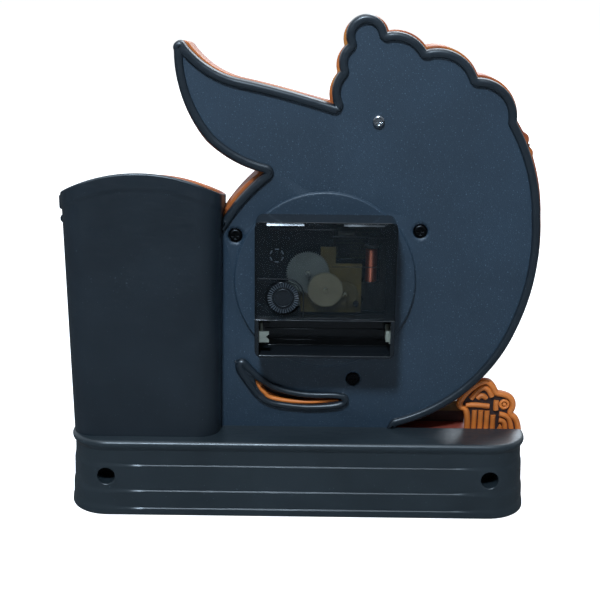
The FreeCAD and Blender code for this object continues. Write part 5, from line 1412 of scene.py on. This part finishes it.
def dial_marks(sizes, face):
    """Printed marks for the minutes, and broader ones for the hours."""
    centre = (DIAL.x, face, DIAL.z)
    top = MARK_FOOT + sizes.tick_length
    half = sizes.tick_width / 2
    minute = to_mesh(cuboid((-half, -PRINT_RISE, MARK_FOOT), (half, PRINT_DEPTH, top)), "mark")
    half = sizes.tick_width * HOUR_MARK_SHARE
    hour = to_mesh(cuboid((-half, -HOUR_PRINT_RISE, HOUR_MARK_FOOT), (half, PRINT_DEPTH, top)), "mark")
    marks = joined("dial_marks", [
        repeated("marks", minute, 60, centre, "printing_ink", turn=math.radians(6)),
        repeated("marks", hour, 12, centre, "printing_ink", turn=math.radians(30))])
    add_piece("dial_marks", marks, "printing_ink", "clock", "dial_card")


def dial_ring(face):
    """A thin printed ring outside the marks."""
    profile = [(RING_INNER, face + PRINT_DEPTH), (RING_INNER, face - PRINT_RISE),
               (RING_OUTER, face - PRINT_RISE), (RING_OUTER, face + PRINT_DEPTH)]
    mesh = to_mesh(profile_turn(profile, DIAL), "dial_ring")
    add_piece("dial_ring", mesh, "printing_ink", "clock", "dial_card")


NUMBER_REACH = 24.6 * MM
NUMBER_LEVEL = 0.02 * MM
NUMBER_THICKNESS, NUMBER_WEIGHT = 0.03 * MM, 0.08 * MM
TEXT_SIZE_SHARE = 1.35


def number_mesh(hour, height):
    """One plain number, flat on its own centre. The type's size is larger than its digits are tall."""
    text = bpy.data.curves.new("number", "FONT")
    text.body = str(hour)
    text.size = height * TEXT_SIZE_SHARE
    text.align_x = "CENTER"
    text.align_y = "CENTER"
    text.extrude = NUMBER_THICKNESS
    text.offset = NUMBER_WEIGHT
    thing = bpy.data.objects.new("number", text)
    bpy.context.scene.collection.objects.link(thing)
    return evaluated(thing, "number")


def dial_numbers(sizes, face):
    """The twelve hours in plain numbers, all upright."""
    numbers = []
    for hour in range(1, 13):
        mesh = number_mesh(hour, sizes.numeral)
        turn = math.radians(30 * hour)
        spot = Vector((DIAL.x + NUMBER_REACH * math.sin(turn), face - NUMBER_LEVEL,
                       DIAL.z + NUMBER_REACH * math.cos(turn)))
        mesh.transform(Matrix.Translation(spot) @ Matrix.Rotation(math.pi / 2, 4, "X"))
        numbers.append(mesh)
    add_piece("dial_numbers", joined("dial_numbers", numbers), "printing_ink", "clock", "dial_card")


class CLOCK_OT_dial(bpy.types.Operator):
    """Finish the dial, its hands, the lens and the bezel"""

    bl_idname = "clock.dial"
    bl_label = "Dial"

    def execute(self, context):
        sizes = context.scene.clock_sizes
        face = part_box("dial_plate")[0].y
        paint_node("dial_plate", "printed_card")
        paint_node("dial_lens", "clear_acrylic")
        dial_marks(sizes, face)
        dial_ring(face)
        dial_numbers(sizes, face)
        edge = sizes.hand_edge
        softened("hour_hand", "hour_pointer", "black_lacquer", "hand_aluminium", "hours", edge)
        softened("minute_hand", "minute_pointer", "black_lacquer", "hand_aluminium", "minutes", edge)
        softened("second_hand", "second_pointer", "red_lacquer", "second_hand_lacquer", "seconds",
                 FINE_EDGE)
        second_cap()
        bezel()
        return {"FINISHED"}


# The stage: camera, light and floor


CAMERA_PLACE = Vector((0, 0.470, 0.229))
CAMERA_PITCH = 17.0
CAMERA_ROLL = 0.7
FOCAL_PIXELS = 1172.0
FRAME_PIXELS = 600.0
SENSOR_WIDTH = 36


def add_camera():
    """The camera looks at the back of the clock from a little above, as the photograph does."""
    data = bpy.data.cameras.new("camera")
    data.sensor_width = SENSOR_WIDTH
    data.lens = SENSOR_WIDTH * FOCAL_PIXELS / FRAME_PIXELS
    camera = bpy.data.objects.new("camera", data)
    bpy.context.scene.collection.objects.link(camera)
    look = Matrix.Rotation(math.pi, 4, "Z") @ Matrix.Rotation(math.radians(90 - CAMERA_PITCH), 4, "X")
    roll = Matrix.Rotation(math.radians(CAMERA_ROLL), 4, "Z")
    camera.matrix_world = Matrix.Translation(CAMERA_PLACE) @ look @ roll
    bpy.context.scene.camera = camera


KEY_COLOUR = (0.66, 0.83, 1.0)
FILL_COLOUR = (0.82, 0.91, 1.0)
# Each lamp's name, place, aim, size, watts and colour, with lengths in metres
LAMPS = (
    ("key", (0.12, 0.63, 0.82), (0, 0, 0.10), (0.12, 0.12), 12.5, KEY_COLOUR),
    ("top", (0.1, 0.15, 1.5), (0, 0, 0.08), (1.2, 0.7), 7, FILL_COLOUR),
    ("front", (-0.5, -1.3, 0.9), (0, 0, 0.10), (0.9, 0.9), 12, FILL_COLOUR),
)


def add_lamp(name, place, aim, size, watts, colour):
    data = bpy.data.lights.new(name, "AREA")
    data.shape = "RECTANGLE"
    data.size, data.size_y = size
    data.energy = watts
    data.color = colour
    lamp = bpy.data.objects.new(name, data)
    bpy.context.scene.collection.objects.link(lamp)
    way = Vector(aim) - Vector(place)
    lamp.matrix_world = Matrix.Translation(place) @ way.to_track_quat("-Z", "Y").to_matrix().to_4x4()


FLOOR_GLOW = 0.89
FLOOR_REACH = 6.0
FLOOR_DROP = 0.2 * MM
SKY_LIGHT = 0.15


def set_world():
    """Plain soft light all round, white to the camera and darker in reflections from behind the camera."""
    world = bpy.data.worlds.new("studio")
    bpy.context.scene.world = world
    world.use_nodes = True
    tree = world.node_tree
    tree.nodes.clear()
    rays = node(tree, "ShaderNodeLightPath").outputs
    place = node(tree, "ShaderNodeTexCoord").outputs["Generated"]
    way = node(tree, "ShaderNodeSeparateXYZ", {"Vector": place}).outputs
    rear = fade(tree, way["Y"], -0.15, 0.35, 0.85, 0.15)
    above = fade(tree, way["Z"], 0.45, 0.80, 0.0, 0.35)
    gloss = node(tree, "ShaderNodeMath", {0: rear, 1: above}, operation="MAXIMUM").outputs[0]
    seen = node(tree, "ShaderNodeMath", {0: rays["Is Camera Ray"], 1: rays["Is Transmission Ray"]},
                operation="MAXIMUM").outputs[0]
    mirrored = node(tree, "ShaderNodeMath", {0: gloss, 1: rays["Is Glossy Ray"]},
                    operation="MULTIPLY").outputs[0]
    base = node(tree, "ShaderNodeMath", {0: rays["Is Diffuse Ray"], 1: SKY_LIGHT},
                operation="MULTIPLY").outputs[0]
    total = node(tree, "ShaderNodeMath", {0: seen, 1: mirrored}, operation="MAXIMUM").outputs[0]
    total = node(tree, "ShaderNodeMath", {0: total, 1: base}, operation="MAXIMUM").outputs[0]
    colour = node(tree, "ShaderNodeMix", {"Factor": seen, MIX_FIRST: (*FILL_COLOUR, 1),
                                          MIX_SECOND: (1, 1, 1, 1)}, data_type="RGBA")
    light = node(tree, "ShaderNodeBackground", {"Color": colour.outputs[MIX_RESULT], "Strength": total})
    node(tree, "ShaderNodeOutputWorld", {"Surface": light.outputs[0]})


def floor_finish():
    """Matt pale paint, brighter to the camera and dark in the plastic's reflections."""
    material, tree = new_material("pale_floor")
    rays = node(tree, "ShaderNodeLightPath").outputs
    lit = node(tree, "ShaderNodeBsdfPrincipled", {"Base Color": (0.9, 0.9, 0.9, 1), "Roughness": 0.9,
                                                  "Specular IOR Level": 0.0})
    share = node(tree, "ShaderNodeMath", {0: rays["Is Camera Ray"], 1: FLOOR_GLOW}, operation="MULTIPLY")
    glow = node(tree, "ShaderNodeEmission", {"Color": (1, 1, 1, 1), "Strength": share.outputs[0]})
    pale = node(tree, "ShaderNodeAddShader", {0: lit.outputs[0], 1: glow.outputs[0]})
    dim = node(tree, "ShaderNodeBsdfDiffuse", {"Color": (0.09, 0.09, 0.09, 1)})
    mixed = node(tree, "ShaderNodeMixShader", {0: rays["Is Glossy Ray"], 1: pale.outputs[0],
                                               2: dim.outputs[0]})
    node(tree, "ShaderNodeOutputMaterial", {"Surface": mixed.outputs[0]})
    return material


def add_floor():
    """A pale floor that keeps the clock's shadow."""
    shape = bmesh.new()
    bmesh.ops.create_grid(shape, x_segments=1, y_segments=1, size=FLOOR_REACH)
    mesh = to_mesh(shape, "floor")
    mesh.materials.append(floor_finish())
    floor = bpy.data.objects.new("floor", mesh)
    bpy.context.scene.collection.objects.link(floor)
    floor.matrix_world = Matrix.Translation((0, 0, -FLOOR_DROP))


class CLOCK_OT_stage(bpy.types.Operator):
    """Set up the floor, the light and the camera"""

    bl_idname = "clock.stage"
    bl_label = "Stage"

    def execute(self, context):
        add_camera()
        set_world()
        add_floor()
        for lamp in LAMPS:
            add_lamp(*lamp)
        context.scene.view_settings.view_transform = "Standard"
        return {"FINISHED"}


class CLOCK_PT_panel(bpy.types.Panel):
    """Lists the clock's operators, sizes and colours"""

    bl_label = "Desk clock"
    bl_idname = "CLOCK_PT_panel"
    bl_space_type = "VIEW_3D"
    bl_region_type = "UI"
    bl_category = "Clock"

    def draw(self, context):
        for operator in OPERATORS:
            self.layout.operator(operator.bl_idname)
        for group in (context.scene.clock_sizes, context.scene.clock_colours):
            box = self.layout.box()
            for name in group.__annotations__:
                box.prop(group, name)


OPERATORS = (CLOCK_OT_base, CLOCK_OT_cup, CLOCK_OT_rear_shell, CLOCK_OT_front_shell, CLOCK_OT_movement,
             CLOCK_OT_dial, CLOCK_OT_stage)
CLASSES = (ClockColours, ClockSizes, *OPERATORS, CLOCK_PT_panel)


def register():
    for one in CLASSES:
        bpy.utils.register_class(one)
    bpy.types.Scene.clock_sizes = PointerProperty(type=ClockSizes)
    bpy.types.Scene.clock_colours = PointerProperty(type=ClockColours)


def unregister():
    del bpy.types.Scene.clock_colours
    del bpy.types.Scene.clock_sizes
    for one in reversed(CLASSES):
        bpy.utils.unregister_class(one)


def main():
    register()
    fill_library(bpy.context.scene.clock_colours)
    bpy.ops.clock.base()
    bpy.ops.clock.cup()
    bpy.ops.clock.rear_shell()
    bpy.ops.clock.front_shell()
    bpy.ops.clock.movement()
    bpy.ops.clock.dial()
    bpy.ops.clock.stage()


if __name__ == "__main__":
    main()
